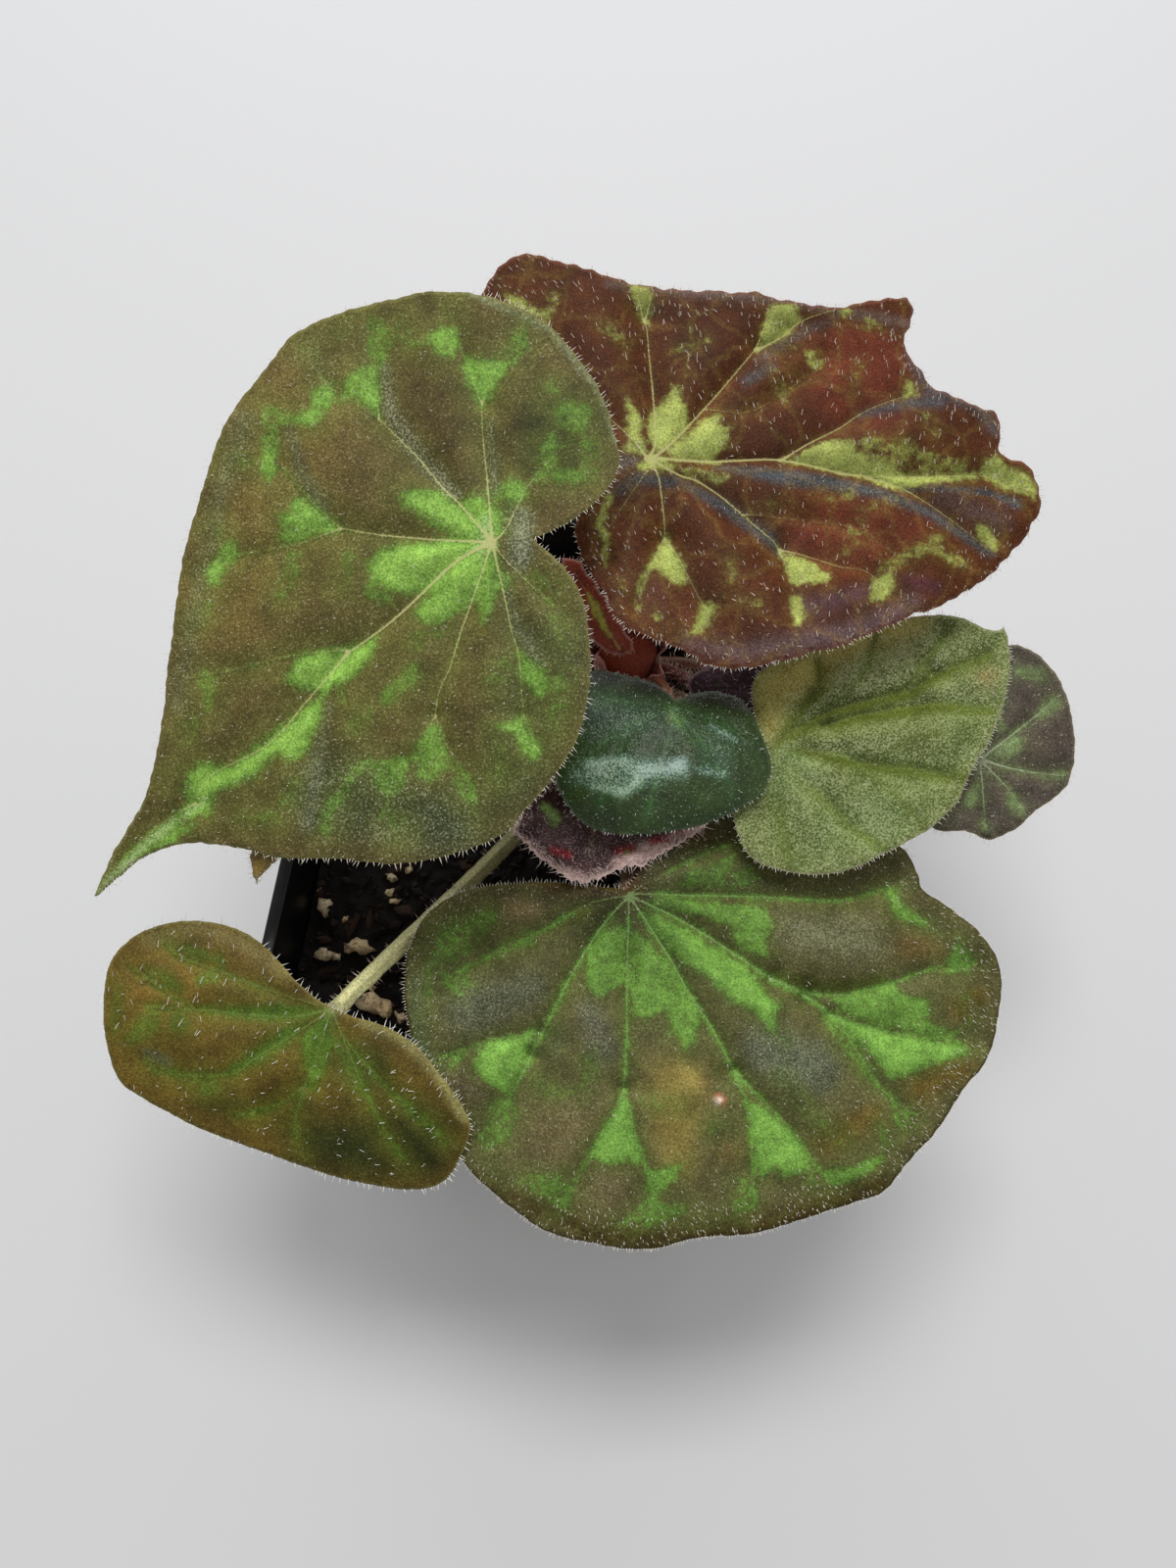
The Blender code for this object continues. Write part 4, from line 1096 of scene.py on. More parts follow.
# Leaf 1. The largest and highest, on the left, drawn out to a drip tip: olive and brown
# with a green star round the stalk and green flecks along its veins.
leaf_01 = {
    "outline": """543,549 575,535 610,510 631,475 625,438 612,400 585,360 550,325 505,305 450,297
        400,306 345,320 300,342 270,378 238,420 218,462 203,512 190,555 180,620 173,670 168,720
        158,780 145,820 128,850 110,882 97,914 124,892 150,872 190,860 240,864 290,875 345,876
        400,881 460,872 510,852 540,822 568,788 590,748 601,700 600,645 592,605 570,574 547,553""",
    "corners": [(97, 914), (543, 549), (547, 553)], "heart": (502, 553), "height": 140,
    "slope": (0.14, 0.12), "bend": (2.2, 2.0, 1.0), "ripple": (0.5, 5, 20), "grid": 5.2,
    "teeth": (1.6, 14), "groove": (1.1, 2.3, 1.25), "lump": (0.16, 9), "along": -0.9,
    "fringe": 0.6, "ground": ("#524826", 0.12),
    "hair": (0.6, 0.95, ((800, 0),), 0.6, 0.12, (0.1, -0.1)),
    "veins": [
        (2.5, 1.3, "502,553 497,500 492,450 490,410"),
        (1.3, 0.7, "490,410 475,370 465,340 456,312"),
        (1.3, 0.7, "490,410 510,370 540,350 562,344"),
        (2.5, 1.5, "502,553 470,515 450,495 425,465 400,440 385,425"),
        (1.3, 0.7, "385,425 382,380 378,330 376,318"),
        (1.0, 0.6, "385,425 358,408 336,396 318,372"),
        (2.5, 1.5, "502,553 440,549 390,545 345,538"),
        (1.1, 0.6, "345,538 320,515 300,492 272,455"),
        (1.3, 0.7, "345,538 300,555 240,568 200,580"),
        (2.8, 2.0, "502,553 460,575 400,630 352,665"),
        (2.0, 1.3, "352,665 310,715 270,760 215,790 195,820"),
        (1.3, 0.8, "195,820 150,852 108,903"),
        (1.3, 0.7, "352,662 300,668 250,680 196,692"),
        (2.2, 1.3, "502,553 485,600 470,640 458,680 447,705 443,730"),
        (1.1, 0.6, "443,730 425,765 410,790 388,835"),
        (1.1, 0.6, "443,730 450,750 475,800 488,845"),
        (2.2, 1.1, "502,553 512,600 520,640 528,670 533,730"),
        (1.0, 0.6, "533,730 545,760 560,785"),
        (1.7, 0.7, "502,553 515,570 545,600 580,632"),
        (2.0, 0.8, "502,553 515,540 530,510 545,485 580,450")],
    "patches": {
        3.4: """106,906,3 140,878,6 172,856,9 196,842,6""",
        1.3: """502,554 450,551 412,552 388,560 374,575 378,592 398,603 428,606 445,600;
            494,557,13 462,570,26 440,578,22; 502,556 468,580 445,602 425,615 421,628 436,637
            452,634 466,622 492,584; 502,553 470,517 450,500 425,499 408,505 412,516 455,543
            480,551; 383,647 360,656 306,667 291,690 300,699 318,704 327,712 342,700 362,689
            378,668; 328,706 240,776 228,783 212,779 200,779 192,790 185,806 190,819 170,838
            148,850 128,870 98,912 138,885 182,842 204,830 213,838 218,806 240,801 259,791 284,768
            290,777 301,777 313,764 321,745 329,722""",
        0.55: """345,409 352,388 364,378 382,371 386,395 386,423 372,411 358,405; 349,538 308,507
            299,512 296,522 285,526 288,538 283,549 292,553 302,553; 532,731 511,742 525,750
            532,765 543,778 553,770 550,758 541,748; 526,664 530,690 549,713 559,700 556,686
            545,674; 491,414 478,392 471,372 474,361 492,366 505,364 521,366 503,398; 502,562
            490,590 485,612 492,637 500,630 509,572; 237,553 243,566 230,578 222,597 212,594
            207,584 228,556; 438,342 450,333 467,333 469,350 462,365 446,363; 318,398 335,387
            343,398 322,435 302,432 297,424 318,416; 270,452 281,460 281,480 274,490 264,480""",
        0.6: """486,520,16 498,535,16; 462,600,24 490,575,20; 508,590,12; 525,500,12""",
        0.25: """441,737 417,775 425,781 430,793 440,797 456,786 460,775 452,762 448,745; 380,780
            412,774 417,778 406,808 396,813 384,802""",
        0.0: """374,318 392,330 396,352 386,376 378,372; 268,412 300,423 300,430 284,433 281,456
            268,456; 566,420 580,413 601,417 599,432 584,441 572,434; 565,443 571,462 560,481
            545,488 556,452; 552,484 611,477 609,488 590,494; 202,689 208,685 218,690 212,725;
            352,801 360,784 378,775 382,781 366,790 352,812 338,832 334,851 328,848 331,822;
            561,694 578,691 579,704 566,703; 460,771 482,800 484,816 476,818 466,800; 422,680
            429,690 405,712 390,717 392,706; 376,595 393,600 397,613 384,613 371,604; 505,364
            520,352 530,326 540,328 538,350 524,370; 480,505 520,492 520,545 490,545""",
        -0.4: """402,330 412,317 421,340 432,354 416,353; 458,303,5 464,334,4; 296,558,3 298,580,4
            286,606,3; 356,566,2 350,598,4; 240,470,4 264,474,3; 216,462,5 232,472,4; 214,535,3
            220,540,3; 212,616,3 205,628,6 192,638,3; 197,736,4 190,752,5; 303,798,5 295,818,6;
            276,836,7 262,838,4; 246,834,6; 404,832,4 408,850,7; 509,746,4 512,772,3 504,796,4;
            515,677,3 503,698,4; 563,398,4 566,414,4; 455,635,5 425,655,4; 550,590,6 575,600,4;
            568,616,5 578,650,5; 572,720,6 566,745,6; 310,345,5 318,360,4; 355,330,5 345,336,5;
            180,780,4 170,800,4; 340,700,8 346,712,4; 372,725,6 362,745,5; 600,440,6 605,470,6"""},
    "spots": [
        ("#76683a", 0.25, 50, "290,440,20"), ("#65562c", 0.16, 80, "300,430,60 225,620,50"),
        ("#4a4022", 0.06, 60, "440,400,40 450,470,10"), ("#2b2f12", 0.03, 60, "570,440,48"),
        ("#3c4022", 0.15, 70, "560,670,44 520,800,36"),
        ("#383f26", 0.3, 60, "340,810,44 460,840,36"), ("#4d4523", 0.08, 60, "430,690,30"),
        ("#5a5430", 0.28, 30, "320,360,8 330,385,8"),
        # painted sheen: silvery specks along the sides of the veins that face the light
        ("#575340", 0.5, 14, "392,375,5 396,420,7 430,468,8 462,503,8"),
        ("#53553e", 0.42, 14, "500,430,2 504,500,6"),
        ("#565b45", 0.55, 20, "530,528,12 530,570,12"),
        ("#545842", 0.45, 16, "514,590,3 526,640,5 548,672,7"),
        ("#4f5342", 0.42, 22, "333,722,2 322,780,4 316,840,7"),
        ("#4f5340", 0.36, 22, "296,440,2 306,480,3 326,515,6"),
        ("#5c5a38", 0.3, 26, "250,430,10 225,500,8 195,640,6 180,720,6"),
        ("#6a7050", 0.3, 8, "480,300,2 560,335,3 612,400,2 628,450,2"),
        ("#86a65c", 0.8, 12, "206,816,3 150,860,4 100,910,3"),
        ("#8fa878", 0.6, 16, "497,530,6 490,560,8"), ("#b9bb8c", 0.3, 6, "502,554,5")],
    "look": {
        "jag": 1.1, "soft": 0.8, "reach": 4.5, "halo": 0.55,
        "green": ("#5a5f2a", "#55792c", "#80a647"), "speck": ("#b4b596", 0.5),
        "vein": ("#b9b67c", 0.8), "rim": ("#7d7a4c", 0.5), "hair": "#ece4d2"}}
make_leaf(1, leaf_01)

# Leaf 2. Upper right, red-brown and deeply pleated, with a pale green star, green flecks at
# the forks of its veins and an uneven toothed margin.
leaf_02 = {
    "outline": """626,463 600,450 555,420 518,372 494,325 492,296 508,273 535,258 575,267 640,285
        690,294 750,297 800,304 850,312 890,307 925,304 932,320 923,350 935,370 955,394 990,410
        1020,425 1022,462 1050,475 1064,508 1052,542 1038,560 1005,592 960,618 920,632 860,658
        785,677 735,682 695,664 640,640 615,607 592,565 585,540 600,508 626,468""",
    "corners": [(925, 304), (923, 350), (626, 463), (626, 468)], "heart": (665, 468),
    "height": 124, "slope": (-0.05, -0.02), "bend": (3.0, 3.0, 0.0), "ripple": (1.0, 7, 60),
    "grid": 5.2, "teeth": (3.4, 17), "groove": (2.2, 2.9, 1.1), "lump": (0.3, 7), "along": -1.2,
    "ground": ("#472510", 0.04),
    "hair": (0.5, 0.85, ((750, 0), (250, 4)), 0.9, 0.13, (-0.35, 0.3)),
    "veins": [
        (1.9, 0.9, "661,467 640,440 618,420 585,398"),
        (2.2, 1.4, "661,467 669,450 668,400 663,340 661,320"),
        (1.5, 0.9, "661,320 652,302 645,288"),
        (1.5, 0.9, "661,320 668,292"),
        (2.4, 1.5, "661,467 675,460 730,402 775,350"),
        (1.9, 1.0, "775,350 800,340 820,325 860,313"),
        (1.5, 0.9, "775,350 783,325 786,306"),
        (2.8, 2.0, "661,467 700,466 760,463 800,463 860,478"),
        (2.0, 1.0, "860,478 890,482 930,483 1010,483 1040,495 1060,505"),
        (2.0, 0.9, "800,463 830,445 860,430 890,412 945,395"),
        (1.9, 0.9, "890,483 930,498 970,525 1000,550 1018,568"),
        (2.2, 1.4, "661,467 690,480 720,490 760,520 800,555"),
        (1.6, 0.8, "800,555 830,565 860,575 890,583 925,620"),
        (1.4, 0.8, "800,555 806,580 818,625"),
        (2.0, 1.3, "661,467 672,485 678,520 681,545"),
        (1.4, 0.8, "681,545 668,570 650,620"),
        (1.4, 0.8, "681,545 690,560 705,590 724,630 735,668"),
        (1.2, 0.6, "664,476 640,508 617,545 612,580"),
        (1.1, 0.6, "720,412 760,418 800,400 850,360"),
        (1.0, 0.6, "690,440 700,380 705,330"),
        (1.0, 0.6, "760,520 820,530 880,540 930,580")],
    "patches": {
        1.4: """668,462 661,440 661,421 682,401 685,389 693,392 696,408 701,405 702,420 707,430
            677,460; 676,464 690,448 722,424 736,421 736,432 749,430 743,440 746,451 731,460
            736,467; 681,540 672,560 663,572 661,582 672,576 679,586 685,593 693,596 703,590
            700,575; 1002,479 1008,465 1020,461 1030,475 1050,480 1063,495 1060,513 1010,487;
            655,476,4 668,470,9 684,474,5""",
        0.8: """775,354 782,312 790,307 812,307 821,318 819,330; 803,466 845,443 870,446 876,456
            890,463 908,468 918,476 940,480 1000,478 1003,486 960,489 930,497 905,493 890,484;
            797,550 808,562 836,572 839,580 849,585 845,593 825,595 808,593; 716,611 728,615
            731,625 726,638 715,646 700,653 697,648 710,638 715,625; 640,284 665,291 669,305
            665,323 657,318 640,298; 892,588 905,581 916,590 912,605 900,613 890,612; 808,605
            820,608 823,630 815,641 808,628; 650,458 640,440 639,404 650,415 658,425 655,440
            661,456; 640,463 629,452 645,449 661,460; 926,383 934,388 939,403 924,403; 848,313
            873,312 871,322 855,321; 622,503,3 612,535,6 618,548,4; 1003,538,4 1014,550,7
            1018,558,4; 510,289 521,300 535,308 550,316 563,318 560,329 528,316 515,305""",
        0.0: """878,447 930,449 942,460 992,470 996,479 940,479 900,471; 690,471 747,485 730,491
            712,486; 661,580,2 654,600,4 650,622,4; 668,624,4 672,630,3; 905,580,5 918,572,5
            935,562,4 952,560,4 965,565,4 985,578,4; 955,556,5 958,549,3; 616,560,3 618,575,4;
            628,590,4 636,602,2; 564,304,5 560,318,4; 827,361,4 835,371,4; 885,328,4 900,332,3""",
        -0.35: """735,613,2 775,614,3; 881,520,2 874,545,4 865,560,3; 893,516,2 915,510,3;
            790,378,3 802,402,4; 832,506,4 870,503,3; 760,520,2 800,512,3; 800,350,3 836,365,4;
            615,330,4 640,350,3; 690,355,3 720,345,3; 945,425,4 955,440,3; 745,590,4 748,572,3;
            540,268,4 535,280,4; 878,370,3 870,395,3"""},
    "spots": [
        ("#5c2a19", 0.05, 60, "880,380,50"), ("#5f2e1e", 0.05, 60, "850,545,40 930,540,14"),
        ("#54301f", 0.1, 60, "640,590,20 720,640,20"), ("#3a1f10", 0.03, 50, "715,350,20"),
        ("#43240f", 0.03, 30, "760,310,8 700,310,10 640,320,8 560,290,8"),
        # painted sheen and shade: the grey and blue-grey bands along the margins and beside the
        # sunken veins, on the flanks of the pleats that tilt away
        ("#56463f", 0.35, 12, "620,288,3 700,297,5 780,304,3 860,316,4 925,330,4"),
        ("#52403f", 0.32, 30, "700,655,5 760,665,8 870,645,12 930,615,8"),
        ("#523a3c", 0.2, 24, "820,620,10 900,600,6"), ("#452428", 0.1, 16, "925,590,6 955,600,6"),
        ("#54403a", 0.3, 30, "960,505,6 1020,530,10"),
        ("#453f3f", 0.4, 14, "930,362,6 950,395,7 1000,415,6 1016,440,4"),
        ("#3b3a3d", 0.35, 12, "880,418,3 930,408,6 960,410,5"),
        ("#42352d", 0.4, 14, "780,362,5 800,347,6 830,332,5 850,326,3"),
        ("#3d3a3a", 0.4, 14, "765,385,5 790,372,4"),
        ("#353a3c", 0.6, 13, "735,473,3 800,485,9 850,491,8 900,501,6 955,523,5 1012,563,4"),
        ("#343b3f", 0.5, 7, "925,497,2 960,495,3 1010,501,3 1040,514,5"),
        ("#36393a", 0.55, 13, "690,485,3 740,513,7 790,548,7 803,562,3"),
        ("#383838", 0.4, 12, "630,500,4 650,487,6 685,490,6"),
        ("#41383a", 0.75, 9, "630,474,7 641,470,7 651,469,4")],
    "look": {
        "cell": 8.0, "jag": 1.0, "soft": 0.5, "reach": 2.0, "halo": 0.3, "net": ("#6b5526", 0.3),
        "green": ("#5c4c20", "#7c7f3e", "#9eaa58"), "speck": ("#7f7672", 0.35),
        "vein": ("#b0ae70", 0.85), "rim": ("#8a5a4a", 0.5),
        "back": ("#7a4038", "#935a48", "#c09068"), "hair": "#eadfd0"}}
make_leaf(2, leaf_02)

# Leaf 3. The small domed leaf in the middle, still fresh: glossy dark green with a puckered
# face, a painted highlight across its dome and painted grey sheen on its rolled shoulders.
leaf_03 = {
    "outline": """690,715 668,697 640,689 605,684 582,705 571,745 566,790 576,818 600,843 640,852
        700,846 745,831 778,808 787,780 776,745 760,717 735,706 708,707""",
    "corners": [(690, 715)], "heart": (680, 765), "height": 111, "bend": (14.0, 26.0, 0.0),
    "grid": 4.0, "teeth": (1.0, 11), "groove": (1.0, 1.9, 1.2), "lump": (0.25, 3.5),
    "along": -1.0, "ground": ("#26380f", 0.05),
    "hair": (0.8, 0.5, ((50, 0), (100, 4)), 0.5, 0.13, (0, -0.2)),
    "veins": [
        (1.6, 0.7, "690,722 680,760 668,800 660,842"),
        (1.3, 0.6, "690,722 640,740 600,770 580,800"),
        (1.2, 0.6, "690,722 640,715 600,705"),
        (1.3, 0.6, "690,722 720,760 745,800 748,826"),
        (1.2, 0.6, "690,722 735,735 775,765"),
        (0.9, 0.5, "640,740 625,780 610,825")],
    "patches": {
        1.2: """684,726,5 694,736,6"""},
    "spots": [
        ("#1c2c08", 0.02, 40, "590,835,16 660,850,14 750,830,14"),
        ("#2a3f2a", 0.25, 30, "600,730,20 660,735,14"), ("#2e4a2c", 0.2, 26, "730,770,16"),
        # painted highlight: the pale silvery band across the dome and the spot at its upper right
        ("#4b7058", 0.7, 26, "592,790,6 640,787,12 696,784,5"),
        ("#8fb896", 1.0, 18, "606,802,0 636,808,2 650,798,2"),
        ("#7aa288", 1.0, 14, "600,780,3 636,776,3"), ("#6c8f94", 1.0, 16, "660,786,4 694,780,4"),
        ("#45695c", 0.8, 16, "715,786,1 740,790,1"), ("#4a7262", 0.9, 13, "726,741,1 750,754,2"),
        # painted sheen: grey on the shoulders, where they curve away
        ("#2f332c", 0.25, 16, "600,690,7 640,690,6 680,702,5"),
        ("#30342e", 0.3, 12, "702,714,3 735,710,5 762,722,5"), ("#6a7a44", 0.3, 8, "684,732,5")],
    "look": {
        "jag": 1.0, "soft": 0.9, "reach": 3.0, "halo": 0.4,
        "green": ("#2c5228", "#3f6a2c", "#7c9648"), "speck": ("#b6c6b0", 0.62),
        "vein": ("#4a6f42", 0.5), "rim": ("#6f7f5f", 0.4), "pucker": 2.0, "bump": 0.7,
        "rough": 0.38, "gloss": 0.35, "back": ("#6a4038", "#7f5a48", "#a07a60"),
        "hair": "#e6ece6"}}
make_leaf(3, leaf_03)

# Leaf 4. Silvery green on the right, finely speckled all over, with broad sunken folds
# along its veins, dark olive in their own colour and in painted shade; its top and left are
# painted paler where leaf 2's shadow falls.
leaf_04 = {
    "outline": """783,766 775,752 768,722 769,695 787,677 830,655 890,637 940,628 975,628 1010,643
        1025,638 1031,665 1028,705 1014,748 990,790 974,823 945,848 905,870 860,890 810,891
        770,878 753,852 748,830 752,806 766,786""",
    "corners": [(1025, 638), (783, 766)], "heart": (815, 770), "height": 104.5,
    "bend": (3.0, 2.5, 0.0), "ripple": (0.4, 5, 0), "grid": 4.8, "teeth": (1.4, 14),
    "groove": (2.6, 2.2, 1.2), "lump": (0.25, 6), "along": -1.5, "fringe": 0.6,
    "ground": ("#5c6830", 0.48), "hair": (0.6, 0.75, ((140, 0), (160, 3)), 0.55, 0.12, (0, 0)),
    "veins": [
        (1.7, 0.8, "790,760 815,725 838,700 835,672"),
        (2.2, 1.2, "790,760 850,722 930,700 960,682"),
        (1.2, 0.7, "960,682 1010,665 1024,642"),
        (1.8, 0.8, "840,738 880,726 960,715 1012,722"),
        (1.8, 0.8, "790,762 850,765 880,775 930,783 985,790"),
        (1.6, 0.7, "788,766 830,800 870,840 905,866"),
        (1.5, 0.7, "786,768 795,810 800,850 812,886"),
        (1.0, 0.6, "930,700 955,660 975,634"),
        (0.9, 0.5, "850,722 880,690 895,645")],
    "patches": {
        0.6: """792,768,5 815,777,6 830,784,3; 795,775,4 803,800,3"""},
    "spots": [
        # painted light: the top and left painted paler and yellower, where leaf 2's shadow falls
        ("#a89c4c", 0.45, 40, "785,740,10 790,705,18 850,665,20 930,642,14"),
        ("#586a30", 0.5, 50, "900,830,30 840,850,20"),
        ("#6a6f3c", 0.6, 40, "870,690,18 940,660,16"), ("#6e5f30", 0.4, 26, "1008,690,10"),
        ("#62743a", 0.5, 30, "800,800,18"), ("#8b9a5c", 0.5, 24, "800,775,10 830,785,6"),
        ("#4c5828", 0.3, 24, "985,745,10 975,770,8"),
        # the veins' own dark olive, with painted shade in their folds
        ("#43490e", 0.0, 14, "792,760,2 815,726,4 838,700,5 836,674,3"),
        ("#43490e", 0.0, 16, "805,752,2 850,725,7 930,703,7 962,683,5 1010,667,4"),
        ("#43490e", 0.0, 14, "850,736,3 880,729,6 960,719,6 1010,724,4"),
        ("#454d12", 0.03, 14, "810,765,2 880,778,6 930,785,7 985,793,5"),
        ("#56622a", 0.1, 12, "830,802,1 870,842,3 903,866,3"),
        ("#56622a", 0.1, 10, "795,810,1 800,850,3 810,884,3"),
        ("#5a6430", 0.1, 9, "930,700,2 955,660,3 975,634,2"),
        ("#5a6430", 0.15, 8, "852,720,1 880,690,2 895,648,2"),
        ("#5a6430", 0.15, 8, "890,776,1 930,752,3 965,745,2"),
        ("#5a6430", 0.15, 8, "880,780,1 915,812,3 945,846,2")],
    "look": {
        "jag": 1.5, "soft": 1.2, "reach": 4.0, "halo": 0.4,
        "green": ("#5f7034", "#6a8040", "#86a058"), "speck": ("#a8b086", 0.72),
        "vein": ("#6a7034", 0.5), "rim": ("#a8a47c", 0.6), "bump": 0.8, "gloss": 0.12,
        "hair": "#f0ece0"}}
make_leaf(4, leaf_04)

# Leaf 5. The small grey-brown leaf behind leaf 4 at the far right, with green flecks at the
# forks of its veins.
leaf_05 = {
    "outline": """1000,773 986,752 992,715 1006,680 1030,658 1055,665 1078,688 1092,720 1097,760
        1090,800 1060,825 1038,845 1010,857 986,848 960,848 944,836 952,812 975,790""",
    "corners": [(1000, 773)], "heart": (1030, 765), "height": 96, "slope": (-0.08, 0.0),
    "bend": (8.0, 8.0, 0.0), "grid": 4.4, "teeth": (1.4, 12), "groove": (1.0, 1.6, 1.2),
    "lump": (0.15, 5), "along": -0.2, "ground": ("#473f37", 0.12),
    "hair": (0.5, 1.0, ((120, 0),), 0.6, 0.11, (0, 0)),
    "veins": [
        (2.2, 1.0, "1000,775 1045,740 1082,710"),
        (1.7, 0.8, "1000,775 1020,730 1030,690 1040,668"),
        (2.2, 1.0, "1000,775 1040,785 1090,792"),
        (1.9, 0.8, "1000,776 1030,805 1048,834"),
        (1.8, 0.8, "1000,776 1004,812 1006,850"),
        (1.4, 0.7, "1000,776 978,805 962,838")],
    "patches": {
        0.5: """1002,774,8 1030,762,9 1038,756,6; 1062,728,4 1075,718,9; 1030,806,3 1040,826,9;
            1070,790,4 1084,791,7; 998,800,4 990,816,8; 1004,835,3 1005,844,6; 1040,684,4
            1062,688,8; 1020,742,5 1018,730,4"""},
    "spots": [
        ("#5a6040", 0.4, 24, "1000,790,10 1020,770,12"),
        ("#5e5c46", 0.45, 20, "955,838,10 975,830,8"), ("#50483a", 0.12, 30, "1060,760,14")],
    "look": {
        "jag": 1.3, "soft": 0.8, "reach": 2.5, "green": ("#55573c", "#5c6c40", "#74885a"),
        "speck": ("#9a9686", 0.45), "vein": ("#a4ac8c", 0.7), "rim": ("#8f8668", 0.5),
        "back": ("#7a5448", "#8f6a58", "#b8927a"), "hair": "#eee6d8"}}
make_leaf(5, leaf_05)

